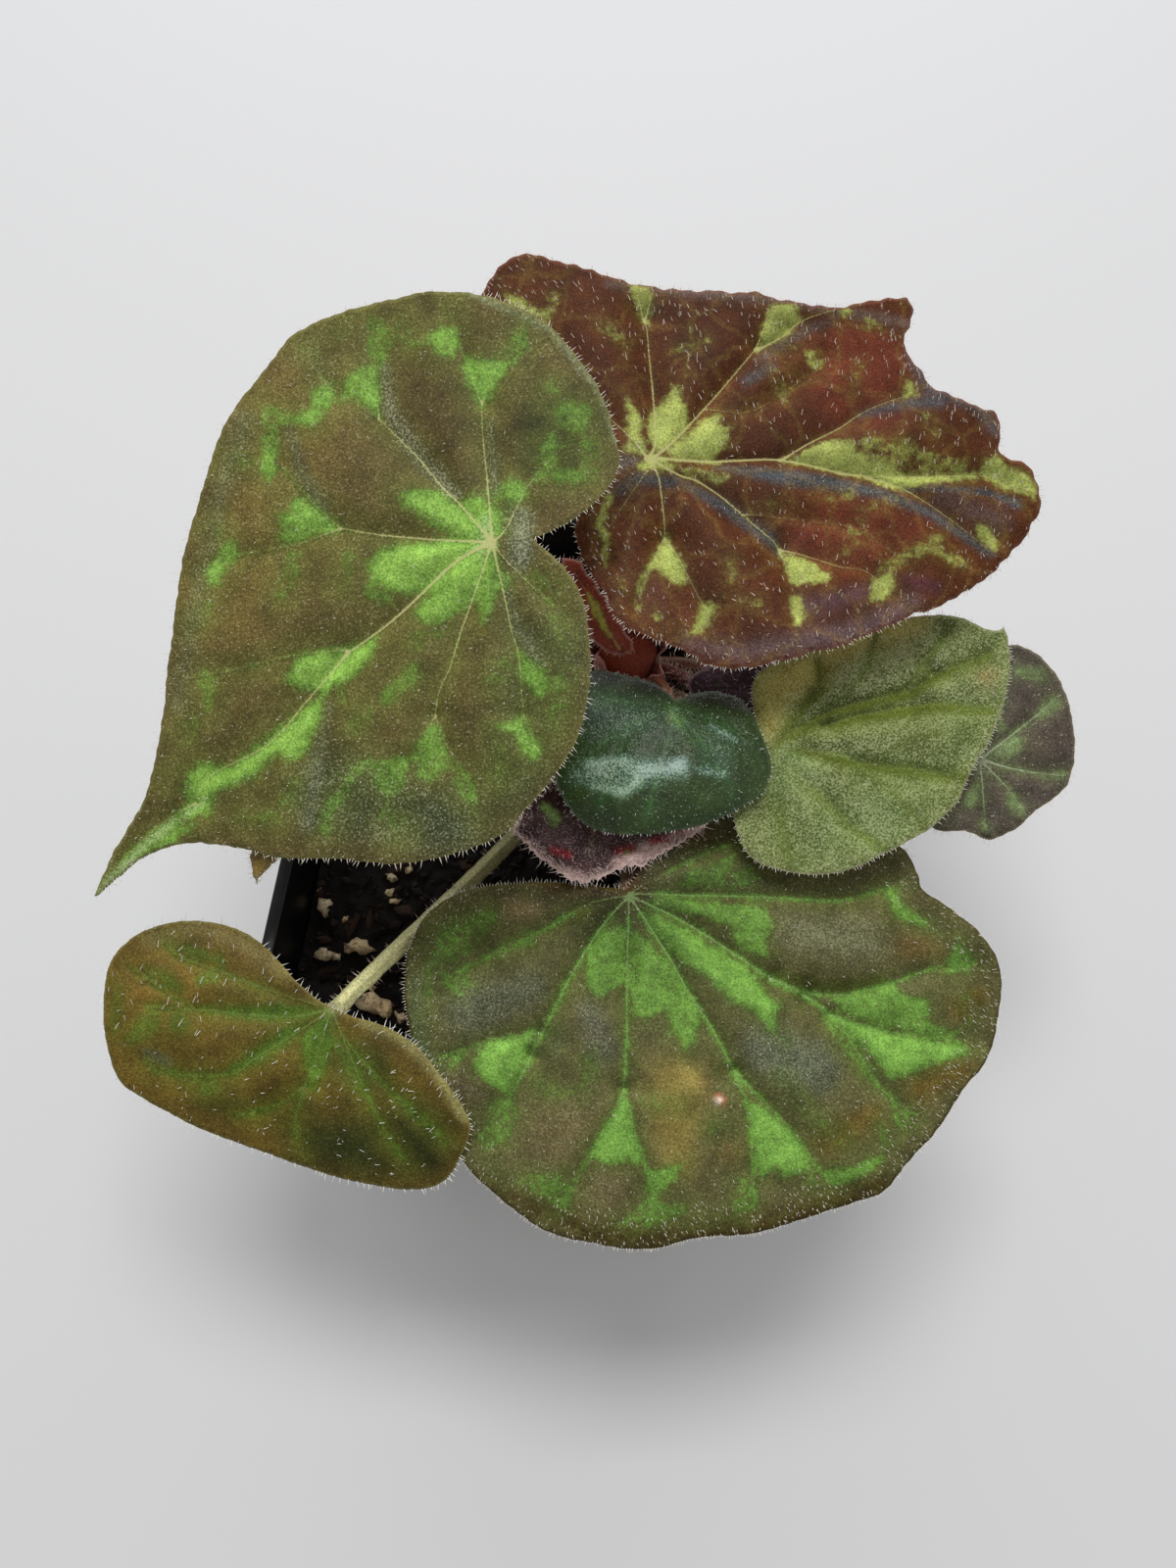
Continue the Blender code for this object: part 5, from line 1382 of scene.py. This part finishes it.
# Leaf 6. The broad leaf in front, bright green along fanned veins with grey-brown fields
# between them, a rust-coloured patch and two pale scars.
leaf_06 = {
    "outline": """640,908 600,903 540,900 480,907 438,930 418,965 412,1005 418,1055 433,1110
        457,1163 485,1200 520,1230 560,1257 610,1270 660,1275 710,1264 765,1259 810,1247 870,1228
        903,1215 925,1188 955,1155 985,1110 1010,1075 1022,1020 1020,985 1005,958 975,930 943,908
        937,890 920,865 880,842 820,828 760,824 705,838 667,868 650,892""",
    "corners": [(640, 908)], "heart": (642, 935), "height": 99.5, "slope": (0.01, 0.03),
    "bend": (3.3, 3.0, 0.0), "ripple": (0.6, 7, 40), "grid": 5.0, "teeth": (1.2, 16),
    # shade: painted shade, the blade painted darker round its hub
    "groove": (2.2, 2.6, 1.15), "lump": (0.3, 9), "along": 0.3, "fringe": 1.8, "shade": 0.4,
    "ground": ("#53502f", 0.14),
    "hair": (0.5, 0.8, ((380, 0), (900, 5)), 0.75, 0.12, (0.1, -0.35)),
    "veins": [
        (1.4, 0.6, "642,914 600,922 560,945 520,965 480,985 450,1002"),
        (1.8, 1.1, "642,914 610,950 580,1000 560,1040 540,1080"),
        (1.1, 0.5, "540,1080 525,1110 505,1140 480,1172"),
        (1.0, 0.5, "551,1055 500,1062 455,1078 428,1090"),
        (1.8, 1.1, "642,914 640,1000 640,1060 637,1112"),
        (1.0, 0.5, "637,1112 620,1150 598,1185 580,1220 572,1255"),
        (1.0, 0.5, "637,1112 648,1150 658,1190 665,1265"),
        (2.0, 1.3, "642,914 680,970 702,1010 727,1050 750,1095"),
        (1.1, 0.6, "750,1095 762,1130 768,1180 772,1245"),
        (1.3, 0.6, "750,1095 800,1145 838,1195 858,1225"),
        (2.0, 1.4, "642,914 690,935 740,965 790,998 825,1015"),
        (1.4, 0.6, "825,1015 860,1045 890,1095 905,1115 935,1142"),
        (1.1, 0.6, "850,1035 900,1052 950,1060 1005,1066"),
        (1.4, 0.6, "790,998 840,1015 900,1008 955,988 1000,985"),
        (1.7, 0.8, "642,912 740,912 800,915 860,918 900,908 932,893"),
        (1.1, 0.5, "642,912 690,885 750,860 820,845")],
    "patches": {
        1.2: """637,1115 607,1160 599,1180 630,1191 640,1183 651,1192 657,1180 644,1130; 650,925
            690,940 740,968 770,990 783,1010 799,1027 790,1035 793,1050 799,1062 784,1050 768,1030
            745,1021 725,1001 680,968; 850,1034 960,1062 1000,1067 1011,1072 1000,1081 985,1078
            970,1083 950,1086 925,1099 905,1101 897,1085 867,1055; 760,1123 780,1130 810,1155
            821,1172 829,1191 815,1199 800,1201 790,1192 779,1204 770,1190; 546,1049 525,1057
            500,1060 487,1072 483,1090 492,1100 515,1119 526,1105 536,1085 542,1070""",
        0.5: """645,945 690,985 705,1010 716,1040 706,1066 699,1076 680,1030 660,1041 645,1036
            641,990; 596,965 620,945 638,942 640,1000 611,1019 599,1005; 650,917 700,915 781,925
            791,945 779,963 750,946 720,935 688,930; 745,950 760,947 783,962 786,976 770,973
            754,965; 904,905 925,897 931,905 922,918 936,930 946,935 951,949 914,936; 975,944
            1006,985 985,991 964,993 975,962; 850,1018 880,1008 916,1001 922,1015 948,1021
            952,1032 945,1041 965,1050 980,1053 970,1061 930,1056 870,1036; 660,1194 696,1189
            690,1205 675,1215 670,1231 661,1228; 840,1195 870,1190 906,1175 900,1190 860,1213
            847,1211""",
        0.05: """624,1253 660,1229 701,1231 690,1246 640,1258; 514,1200 576,1199 578,1220 571,1241
            559,1246 565,1225; 689,906 699,890 751,871 753,890 766,885 776,895 760,904; 430,934
            507,924 502,941 490,960 470,978 436,988; 445,989 471,991 482,1005 470,1016 454,1006;
            440,1077 472,1075 464,1086 444,1094; 500,1125 520,1118 528,1140 515,1165 488,1180;
            905,1110 946,1145 936,1156 920,1161; 755,1204 766,1204 771,1225 766,1251 744,1246;
            838,1030 850,1034 900,1100 890,1104 862,1070; 412,960 432,950 440,1000 436,1060
            420,1050; 540,950 462,990 458,1000 500,978 545,962""",
        -0.3: """538,1085 561,1105 581,1115 565,1119 547,1109; 935,935,4 965,950,5; 826,1205,5
            850,1222,5; 728,1150,6 742,1146,4; 690,1050,8 702,1070,5; 500,1195,6 512,1215,5;
            700,1246,6 740,1252,6; 660,1125,5 695,1128,5; 596,1120,4 604,1080,4; 800,1100,6
            830,1140,5; 840,1150,6 862,1165,4; 900,1150,5 912,1180,5; 985,1020,4 996,1046,4"""},
    "spots": [
        ("#50533c", 0.42, 40, "480,1030,24 540,1010,16"),
        ("#544c34", 0.25, 24, "460,1105,14 490,1115,10"), ("#454a2a", 0.15, 24, "560,1060,20"),
        ("#555440", 0.4, 24, "615,1070,16 600,1030,10"),
        ("#615737", 0.25, 40, "560,1160,24 600,1130,16"), ("#5a5134", 0.25, 24, "622,1213,16"),
        ("#7e6f37", 0.14, 50, "690,1110,28 690,1180,16"), ("#87793f", 0.14, 20, "705,1105,12"),
        ("#6a5c30", 0.2, 30, "745,1175,10"), ("#5b5a3c", 0.45, 36, "810,950,18 880,960,22"),
        ("#60502a", 0.2, 30, "930,965,14 960,970,8"),
        # painted shade: the dark green band above the main fold
        ("#36380f", 0.0, 12, "790,990,4 840,1008,7 900,1002,5"),
        ("#505540", 0.42, 34, "780,1070,22 830,1090,26"),
        ("#5a491d", 0.1, 30, "845,1165,14 890,1140,12"),
        ("#57471b", 0.1, 30, "940,1110,16 985,1090,10"),
        ("#5c4c20", 0.15, 20, "980,1030,12 1000,1015,8"),
        ("#67613f", 0.35, 20, "925,1005,8 945,1000,6"),
        ("#352a0a", 0.02, 34, "490,1205,4 600,1258,12 700,1264,12 800,1248,14 900,1208,10"),
        ("#4a3418", 0.08, 26, "560,905,5 645,902,12"),
        ("#3a3c12", 0.05, 24, "590,935,8 625,930,8"), ("#80704a", 0.3, 22, "520,925,8 545,930,8"),
        # painted shadow: dark brown along the top edge under the leaves above
        ("#3c2c12", 0.0, 36, "700,850,12 740,862,10"),
        ("#4f5a38", 0.35, 16, "424,1000,6 426,1060,6 440,1090,6"),
        ("#e0c8b8", 0.3, 3, "733,1123,3"),
        ("#a86a4c", 0.1, 4, "729,1117,1 740,1120,1 738,1130,1"),
        ("#d8a890", 0.2, 2, "685,1119,1")],
    "look": {
        "cell": 2.8, "jag": 0.9, "soft": 0.55, "reach": 3.0, "halo": 0.45,
        "net": ("#66703a", 0.18), "green": ("#4d5a24", "#4f6e2a", "#74a044"),
        "speck": ("#a0a28a", 0.42), "vein": ("#8aa868", 0.5), "rim": ("#4a3c14", 0.6),
        "back": ("#7d5a44", "#8f6f52", "#b89a70"), "hair": "#f0ead8"}}
make_leaf(6, leaf_06)

# Leaf 7. Lower left, held out on a long stalk and folded down in front: olive brown with
# long white hairs.
leaf_07 = {
    "outline": """337,1028 322,1018 300,998 272,967 245,949 205,940 165,943 130,960 110,988
        105,1035 110,1070 122,1102 148,1122 200,1150 260,1173 320,1194 370,1208 420,1214 452,1206
        470,1182 480,1152 470,1125 448,1095 428,1070 398,1049 360,1037""",
    "corners": [(337, 1028)], "heart": (325, 1075), "height": 98.5, "slope": (0.0, 0.16),
    "bend": (2.5, 11.0, 5.0), "grid": 4.8, "teeth": (0.8, 14), "groove": (1.4, 2.5, 1.15),
    "lump": (0.2, 8), "along": 0.1, "fringe": 0.8, "ground": ("#58481a", 0.12),
    "hair": (0.9, 1.1, ((190, 0),), 1.5, 0.15, (0.45, 0.45)),
    "veins": [
        (1.8, 0.8, "338,1030 300,1037 250,1035 200,1031 150,1028"),
        (1.4, 0.6, "338,1030 280,1012 220,990 180,975 165,958"),
        (1.0, 0.5, "200,1031 165,1010 130,985"),
        (1.8, 0.8, "338,1030 300,1055 260,1080 235,1097 180,1098 150,1082"),
        (1.6, 0.7, "338,1030 325,1070 310,1110 300,1150 310,1185"),
        (1.6, 0.7, "338,1030 350,1060 370,1110 395,1160 420,1195"),
        (1.3, 0.6, "338,1030 355,1065 385,1100 430,1145 462,1170"),
        (0.9, 0.5, "310,1110 280,1130 240,1140")],
    "patches": {
        0.9: """335,1036,8 325,1062,18 322,1085,12 318,1110,4; 332,1033,6 285,1032,10 245,1033,6
            205,1030,3; 300,1050,8 262,1078,7 235,1094,4""",
        0.1: """205,1096,4 212,1106,10; 160,1028,4 150,1045,10 135,1060,4; 222,978,4 218,992,9
            205,1000,4; 180,1008,5 168,1000,8 150,990,3; 178,1028,3 182,1045,8; 235,1098,2
            190,1100,5 155,1090,3; 345,1060,6 358,1090,6 372,1115,4; 170,962,4 195,972,6
            225,984,3; 400,1115,3 430,1142,4 455,1165,3; 120,1010,4 116,1050,4"""},
    "spots": [
        ("#2c3010", 0.08, 60, "320,1165,30 370,1172,36"), ("#20240a", 0.08, 60, "425,1165,44"),
        ("#343b16", 0.1, 40, "370,1090,26"), ("#3c3a12", 0.1, 40, "210,1120,14 270,1140,10"),
        ("#6c5020", 0.1, 50, "165,1010,36 225,985,26"),
        ("#6f6539", 0.35, 22, "150,958,5 200,946,6 245,960,7 290,993,6"),
        ("#7f7948", 0.35, 12, "370,1044,3 410,1060,4 447,1096,5 474,1140,5"),
        ("#40340e", 0.0, 26, "270,1122,16 300,1100,8"),
        ("#3f350f", 0.0, 16, "275,1010,5 225,1012,5"), ("#8a8e60", 0.3, 9, "337,1036,5"),
        ("#525645", 0.35, 12, "170,1085,4 150,1075,4")],
    "look": {
        "jag": 1.0, "soft": 1.1, "reach": 4.0, "green": ("#54561c", "#445a1a", "#587628"),
        "speck": ("#8f8a62", 0.4), "vein": ("#7c8a4a", 0.6), "rim": ("#8a8450", 0.5), "bump": 0.5,
        "hair": "#f6f2e6"}}
make_leaf(7, leaf_07)

# Leaf 8. A young leaf, still cupped, between leaves 1, 3 and 6: purplish with a crisped
# pink-white fringe.
leaf_08 = {
    "outline": """610,783 575,788 545,806 524,845 535,858 553,878 578,896 602,901 630,889 663,881
        700,858 722,842 712,815 680,795 645,785""",
    "corners": [(610, 783)], "heart": (618, 838), "height": 100, "slope": (0.0, -0.12),
    "bend": (-6.0, -9.0, 0.0), "ripple": (7.0, 11, 0), "grid": 3.2, "teeth": (6.0, 9),
    "groove": (0.7, 1.5, 1.1), "lump": (0.4, 2.2), "along": -0.6, "ground": ("#453230", 0.3),
    "hair": (0.11, 1.5, ((150, 0), (640, 1.6)), 1.1, 0.11, (0, -0.2)),
    "veins": [
        (1.4, 0.6, "612,800 580,830 548,862"),
        (1.4, 0.6, "612,800 605,850 600,894"),
        (1.3, 0.6, "612,800 640,840 660,876"),
        (1.2, 0.6, "612,800 670,820 715,838")],
    "patches": {
        1.2: """556,822,6 566,834,8; 640,868,3"""},
    "spots": [
        # painted shade: dark red-brown on the cupped inner face
        ("#34201c", 0.1, 24, "556,815,16 600,805,14 640,830,10"),
        ("#b4988c", 0.5, 14, "530,855,2 560,886,5 600,902,6 632,890,5"),
        ("#bca094", 0.5, 14, "632,880,6 664,866,7 702,849,7 722,840,4"),
        ("#962a30", 0.1, 8, "565,868,3 580,872,3"), ("#962a30", 0.1, 8, "630,868,3 645,866,3"),
        ("#962a30", 0.1, 8, "665,858,3 680,856,3"), ("#962a30", 0.1, 8, "690,847,3 705,842,2")],
    "look": {
        "jag": 0.8, "soft": 0.4, "reach": 1.5, "halo": 0.3,
        "green": ("#5a5034", "#5f7a38", "#7a9650"), "speck": ("#c0aab2", 0.6),
        "vein": ("#9a7078", 0.5), "rim": ("#dcc0b8", 0.9), "pucker": 2.5, "bump": 0.9,
        "gloss": 0.15, "back": ("#8a3a40", "#a8606a", "#c08a88"), "hair": "#f2dcd6"}}
make_leaf(8, leaf_08)

# Leaf 9. The youngest, in the middle of the crown, narrow and still folded, red-brown with a
# yellow-green rib.
leaf_09 = {
    "outline": """572,570 592,572 612,600 632,632 648,662 628,670 604,655 592,622 578,596""",
    "corners": [(572, 570), (628, 670)], "heart": (608, 625), "height": 101, "slope": (-0.3, 0.5),
    "bend": (20.0, 0.0, 0.0), "grid": 3.4, "teeth": (4.0, 8), "groove": (0.5, 1.2, 1.1),
    "lump": (0.2, 3), "along": 0.0, "ground": ("#8a3a24", 0.12),
    "hair": (0.6, 0.8, ((50, 0),), 0.6, 0.1, (0, 0)),
    "veins": [
        (1.8, 0.8, "632,662 612,630 596,600 578,574")],
    "patches": {
        1.2: """622,650,3 610,626,7 600,606,4"""},
    "spots": [
        ("#a04c34", 0.12, 14, "630,655,8"), ("#6a3020", 0.12, 16, "585,590,8")],
    "look": {
        "jag": 0.6, "soft": 0.4, "reach": 1.5, "halo": 0.3,
        "green": ("#7a5a28", "#a0a040", "#c0c050"), "speck": ("#b08070", 0.3),
        "vein": ("#b8b068", 0.7), "rim": ("#d09a90", 0.8), "pucker": 2.0, "bump": 0.7,
        "rough": 0.45, "gloss": 0.3, "back": ("#8a4038", "#a05a4a", "#c09070"),
        "hair": "#f0d8d0"}}
make_leaf(9, leaf_09)

# Leaf 10. A small dark purple leaf in the shade of leaves 2, 3 and 4, of which only a strip
# shows, velvety and closely haired.
leaf_10 = {
    "outline": """702,694 720,681 750,674 785,676 800,694 788,716 760,726 728,722 708,712""",
    "heart": (750, 700), "height": 97, "bend": (6.0, 6.0, 0.0), "grid": 3.6, "teeth": (2.0, 9),
    "groove": (0.5, 1.2, 1.1), "lump": (0.3, 3), "along": -0.6, "ground": ("#3a2c34", 0.12),
    "hair": (0.3, 1.1, ((90, 0),), 0.8, 0.1, (0, 0)),
    "veins": [
        (1.4, 0.7, "715,700 750,700 790,698"),
        (1.0, 0.6, "720,700 745,715 765,722"),
        (1.0, 0.6, "720,700 745,686 770,678")],
    "patches": {
        1.2: """735,696,2"""},
    "spots": [
        ("#55424e", 0.12, 12, "720,688,6 760,680,5")],
    "look": {
        "jag": 0.6, "soft": 0.4, "reach": 2.0, "halo": 0.3,
        "green": ("#3f3a30", "#4a5a34", "#5f7040"), "speck": ("#8a7480", 0.5),
        "vein": ("#6a5058", 0.5), "rim": ("#a08088", 0.8), "pucker": 2.0, "bump": 0.8,
        "rough": 0.45, "gloss": 0.3, "back": ("#6a3038", "#80484a", "#a07870"),
        "hair": "#e8d0d0"}}
make_leaf(10, leaf_10)

# Leaf 11. A small olive leaf under leaf 1, of which only the frilled tip shows, at the lower
# edge of leaf 1.
leaf_11 = {
    "outline": """262,902 255,880 262,845 292,808 335,795 360,815 352,848 318,868 280,880""",
    "corners": [(262, 902)], "heart": (315, 835), "height": 114, "slope": (0.1, 0.1),
    "bend": (4.0, 4.0, 0.0), "grid": 4.2, "teeth": (3.0, 10), "groove": (0.5, 1.4, 1.1),
    "lump": (0.3, 4), "along": 0.0, "ground": ("#5a4a24", 0.12),
    "hair": (0.5, 1.1, ((40, 0),), 0.8, 0.11, (0, 0)),
    "veins": [
        (1.5, 0.7, "352,825 315,840 285,862 264,892"),
        (1.0, 0.5, "345,828 320,812 295,815")],
    "patches": {
        1.2: """300,850,5 280,865,4"""},
    "spots": [
        ("#a88c48", 0.12, 20, "262,892,12")],
    "look": {
        "jag": 0.8, "soft": 0.5, "reach": 2.5, "halo": 0.4,
        "green": ("#58582a", "#5f7a34", "#7a9648"), "speck": ("#8a8460", 0.4),
        "vein": ("#9a9a5c", 0.6), "rim": ("#a89468", 0.8), "gloss": 0.2, "hair": "#ece4d2"}}
make_leaf(11, leaf_11)

# Stalks. Each leaf stands on one round fleshy stalk from the rhizome's side, ribbed and
# hairy, reddish at its foot and turning olive green where it meets the blade.
RHIZOME_CLEARANCE = 0.45 * MM
STALK_RISE = 0.15
CAD_BLADE = 0.75 * MM
CAD_GAP = 0.3 * MM
JOINT_DEPTH = 0.75 * MM
STALK_RINGS = 60
STALK_SIDES = 20
STALK_ROOT = 1.5 * MM
STALK_RIBS = 5
STALK_TWIST = 3
RIB_DEPTH = 0.09
RIB_STREAK = 0.6
KNOBBLE = 0.1
KNOBBLE_SIZE = 1.2 * MM
SWELLING = 0.12
SWELLING_SHARE = 0.07
STALK_HAIR_SEED = 21
STALK_HAIRS_A_RING = 3
STALK_HAIR_LENGTH = (0.7 * MM, 1.6 * MM)
STALK_HAIR_WIDTH = 0.11 * MM
STALK_HAIR_SUNK = 0.9
STALK_HAIR_LEAN = 0.4
STALKS = {
    # leaf, joint pixel, foot's bearing in degrees and height in mm, radius at foot and top
    # in mm, straight reach at both ends in mm, how level it arrives, its slot's colours
    1: (leaf_01, (502, 556), (180, 10.5), (1.9, 1.5), (14, 22), 0.1, ("#8a4a30", "#8f8a50")),
    2: (leaf_02, (663, 470), (82, 9), (1.9, 1.5), (14, 18), 0.1, ("#b8563c", "#b07850")),
    3: (leaf_03, (690, 720), (-45, 11), (1.7, 1.4), (5, 9), 0.5, ("#b85c38", "#cc8a5c")),
    4: (leaf_04, (790, 764), (-28, 4.5), (1.6, 1.3), (8, 10), 0.4, ("#7a4030", "#8f8a58")),
    5: (leaf_05, (1004, 774), (3, 7), (1.6, 1.2), (12, 18), 0.8, ("#7a4030", "#8a7a55")),
    6: (leaf_06, (642, 914), (-82, 8), (1.8, 1.5), (12, 8), 0.5, ("#6a2c20", "#6d4a2c")),
    7: (leaf_07, (341, 1029), (-114, 3.5), (1.5, 1.2), (24, 16), 0.75, ("#5c5a30", "#dcd898")),
    8: (leaf_08, (618, 812), (-142, 10.5), (1.3, 1.1), (6, 6), 0.4, ("#8a3a38", "#a8605a")),
    9: (leaf_09, (612, 642), (140, 8), (1.1, 0.9), (3, 3), 0.4, ("#a0503c", "#b8705a")),
    10: (leaf_10, (722, 700), (-14, 11), (1.1, 0.9), (3, 4), 0.4, ("#7a3030", "#7a4848")),
    11: (leaf_11, (352, 830), (-162, 7), (1.1, 0.9), (14, 14), 0.5, ("#8a4a30", "#8a7a48"))}


def stalk_path(leaf, joint_pixel, foot, radius, reach, level):
    """The stalk's middle line from the rhizome into its blade's underside."""
    bearing = math.radians(foot[0])
    out = Vector((math.cos(bearing), math.sin(bearing), 0))
    start = CROWN + out * (RHIZOME_RADIUS + RHIZOME_CLEARANCE) + Vector((0, 0, foot[1] * MM))
    joint_row = on_sheet(leaf, [joint_pixel])
    joint, normal = Vector(joint_row[0]), Vector(sheet_normals(leaf, joint_row)[0])
    level_way = Vector((start.x - joint.x, start.y - joint.y, 0)).normalized()
    away = (-normal).lerp(level_way, level).normalized()
    tilt = math.sqrt(max(0.0, 1 - away.dot(normal) ** 2))
    top = joint - normal * (CAD_BLADE + CAD_GAP + radius[1] * MM * tilt)
    foot_way = (out + Vector((0, 0, STALK_RISE))).normalized()
    path = interpolate_bezier(start, start + foot_way * reach[0] * MM,
                              top + away * reach[1] * MM, top, STALK_RINGS)
    end = joint - normal * JOINT_DEPTH
    return [start - out * STALK_ROOT] + list(path) + [top.lerp(end, 0.5), end]


def sweep_stalk(name, path, radius, number):
    """A round tube along the path, lightly ribbed, swelling where it opens into the veins."""
    verts, along, streak = [], [], []
    side = (path[1] - path[0]).orthogonal().normalized()
    for index, centre in enumerate(path):
        run = (path[min(index + 1, len(path) - 1)] - path[max(index - 1, 0)]).normalized()
        side = (side - run * side.dot(run)).normalized()
        across = run.cross(side)
        share = min(1.0, index / (len(path) - 3))
        size = (radius[0] + (radius[1] - radius[0]) * share) * MM
        size *= 1 + SWELLING * max(0.0, share - 1 + SWELLING_SHARE) / SWELLING_SHARE
        for step in range(STALK_SIDES):
            angle = math.tau * step / STALK_SIDES
            rib = math.sin(STALK_RIBS * angle + STALK_TWIST * share)
            rough = KNOBBLE * noise.noise(centre / KNOBBLE_SIZE + Vector((angle, number, 0)))
            arm = side * math.cos(angle) + across * math.sin(angle)
            verts.append(centre + arm * size * (1 + RIB_DEPTH * rib + rough))
            along.append(share)
            streak.append(RIB_STREAK * max(0.0, rib) ** 3)
    faces = [tuple(range(STALK_SIDES))[::-1]]
    for ring in range(len(path) - 1):
        for step in range(STALK_SIDES):
            after = (step + 1) % STALK_SIDES
            low, high = ring * STALK_SIDES, (ring + 1) * STALK_SIDES
            faces.append((low + step, low + after, high + after, high + step))
    last = (len(path) - 1) * STALK_SIDES
    faces.append(tuple(range(last, last + STALK_SIDES)))
    stalk = new_object(name, [tuple(vert) for vert in verts], faces)
    stalk.data.polygons.foreach_set("use_smooth", [len(face) == 4 for face in faces])
    add_values(stalk, "along", along)
    add_values(stalk, "streak", streak)
    return stalk


hair_roots, hair_ways, hair_lengths = [], [], []
draw = random.Random(STALK_HAIR_SEED)
for number, (leaf, joint_pixel, foot, radius, reach, level, colours) in STALKS.items():
    path = stalk_path(leaf, joint_pixel, foot, radius, reach, level)
    stalk = sweep_stalk(f"stalk_{number:02d}", path, radius, number)
    stalk.data.materials.append(fleshy_skin(f"hairy_stalk_skin_{number:02d}", *colours, "#6e6c3a"))
    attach(stalk, "root")
    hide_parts(f"leaf_{number:02d}_stalk")
    for start, end in zip(path[1:], path[2:]):
        for _ in range(STALK_HAIRS_A_RING):
            run = (end - start).normalized()
            out = run.orthogonal().normalized()
            out.rotate(Matrix.Rotation(draw.uniform(0, math.tau), 3, run))
            root_out = out * radius[1] * STALK_HAIR_SUNK * MM
            hair_roots.append(start.lerp(end, draw.uniform(0, 1)) + root_out)
            lean = draw.uniform(-STALK_HAIR_LEAN, STALK_HAIR_LEAN)
            hair_ways.append((out + run * lean).normalized())
            hair_lengths.append(draw.uniform(*STALK_HAIR_LENGTH))
stalk_hairs = build_hairs("stalk_hairs", hair_roots, hair_ways, hair_lengths,
                          STALK_HAIR_WIDTH, draw)
stalk_hairs.data.materials.append(hair_gloss("glassy_stalk_hair", "#e6d6c2"))
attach(stalk_hairs, "root")

# Table and light. A plain pale table, a wide soft light above and behind the plant, whose
# shadow falls towards the viewer, a low cool light from behind and a white room all round.
floor_material, floor_tree = new_material("pale_table")
floor_skin = add_node(floor_tree, "BsdfPrincipled", {"Base Color": linear("#d0d0d0"),
                                                     "Roughness": 0.45})
add_node(floor_tree, "OutputMaterial", {"Surface": floor_skin})
bpy.ops.object.select_all(action="DESELECT")
bpy.ops.mesh.primitive_plane_add(size=6, location=(0, 0, 0))
floor = bpy.context.object
floor.name = "floor"
floor.data.materials.append(floor_material)

LIGHT_AIM = Vector((0, 0, 0.1))


def soft_light(name, bearing_deg, height_deg, distance, size, power, colour):
    """A rectangular light that looks at the plant from a bearing and height in degrees."""
    data = bpy.data.lights.new(name, "AREA")
    data.shape = "RECTANGLE"
    data.size, data.size_y = size
    data.energy = power
    data.color = linear(colour)[:3]
    item = bpy.data.objects.new(name, data)
    bearing, height = math.radians(bearing_deg), math.radians(height_deg)
    way = Vector((math.cos(bearing) * math.cos(height), math.sin(bearing) * math.cos(height),
                  math.sin(height)))
    item.location = LIGHT_AIM + way * distance
    item.rotation_euler = (-way).to_track_quat("-Z", "Y").to_euler()
    bpy.context.scene.collection.objects.link(item)


soft_light("over_light", 90, 74, 1.1, (0.5, 0.26), 7.2, "#ffffff")
soft_light("back_light", 90, 22, 1.0, (0.9, 0.25), 3, "#f2f6ff")
world = bpy.data.worlds.new("white_room")
world.use_nodes = True
world.node_tree.nodes["Background"].inputs["Color"].default_value = linear("#ffffff")
world.node_tree.nodes["Background"].inputs["Strength"].default_value = 0.53
bpy.context.scene.world = world
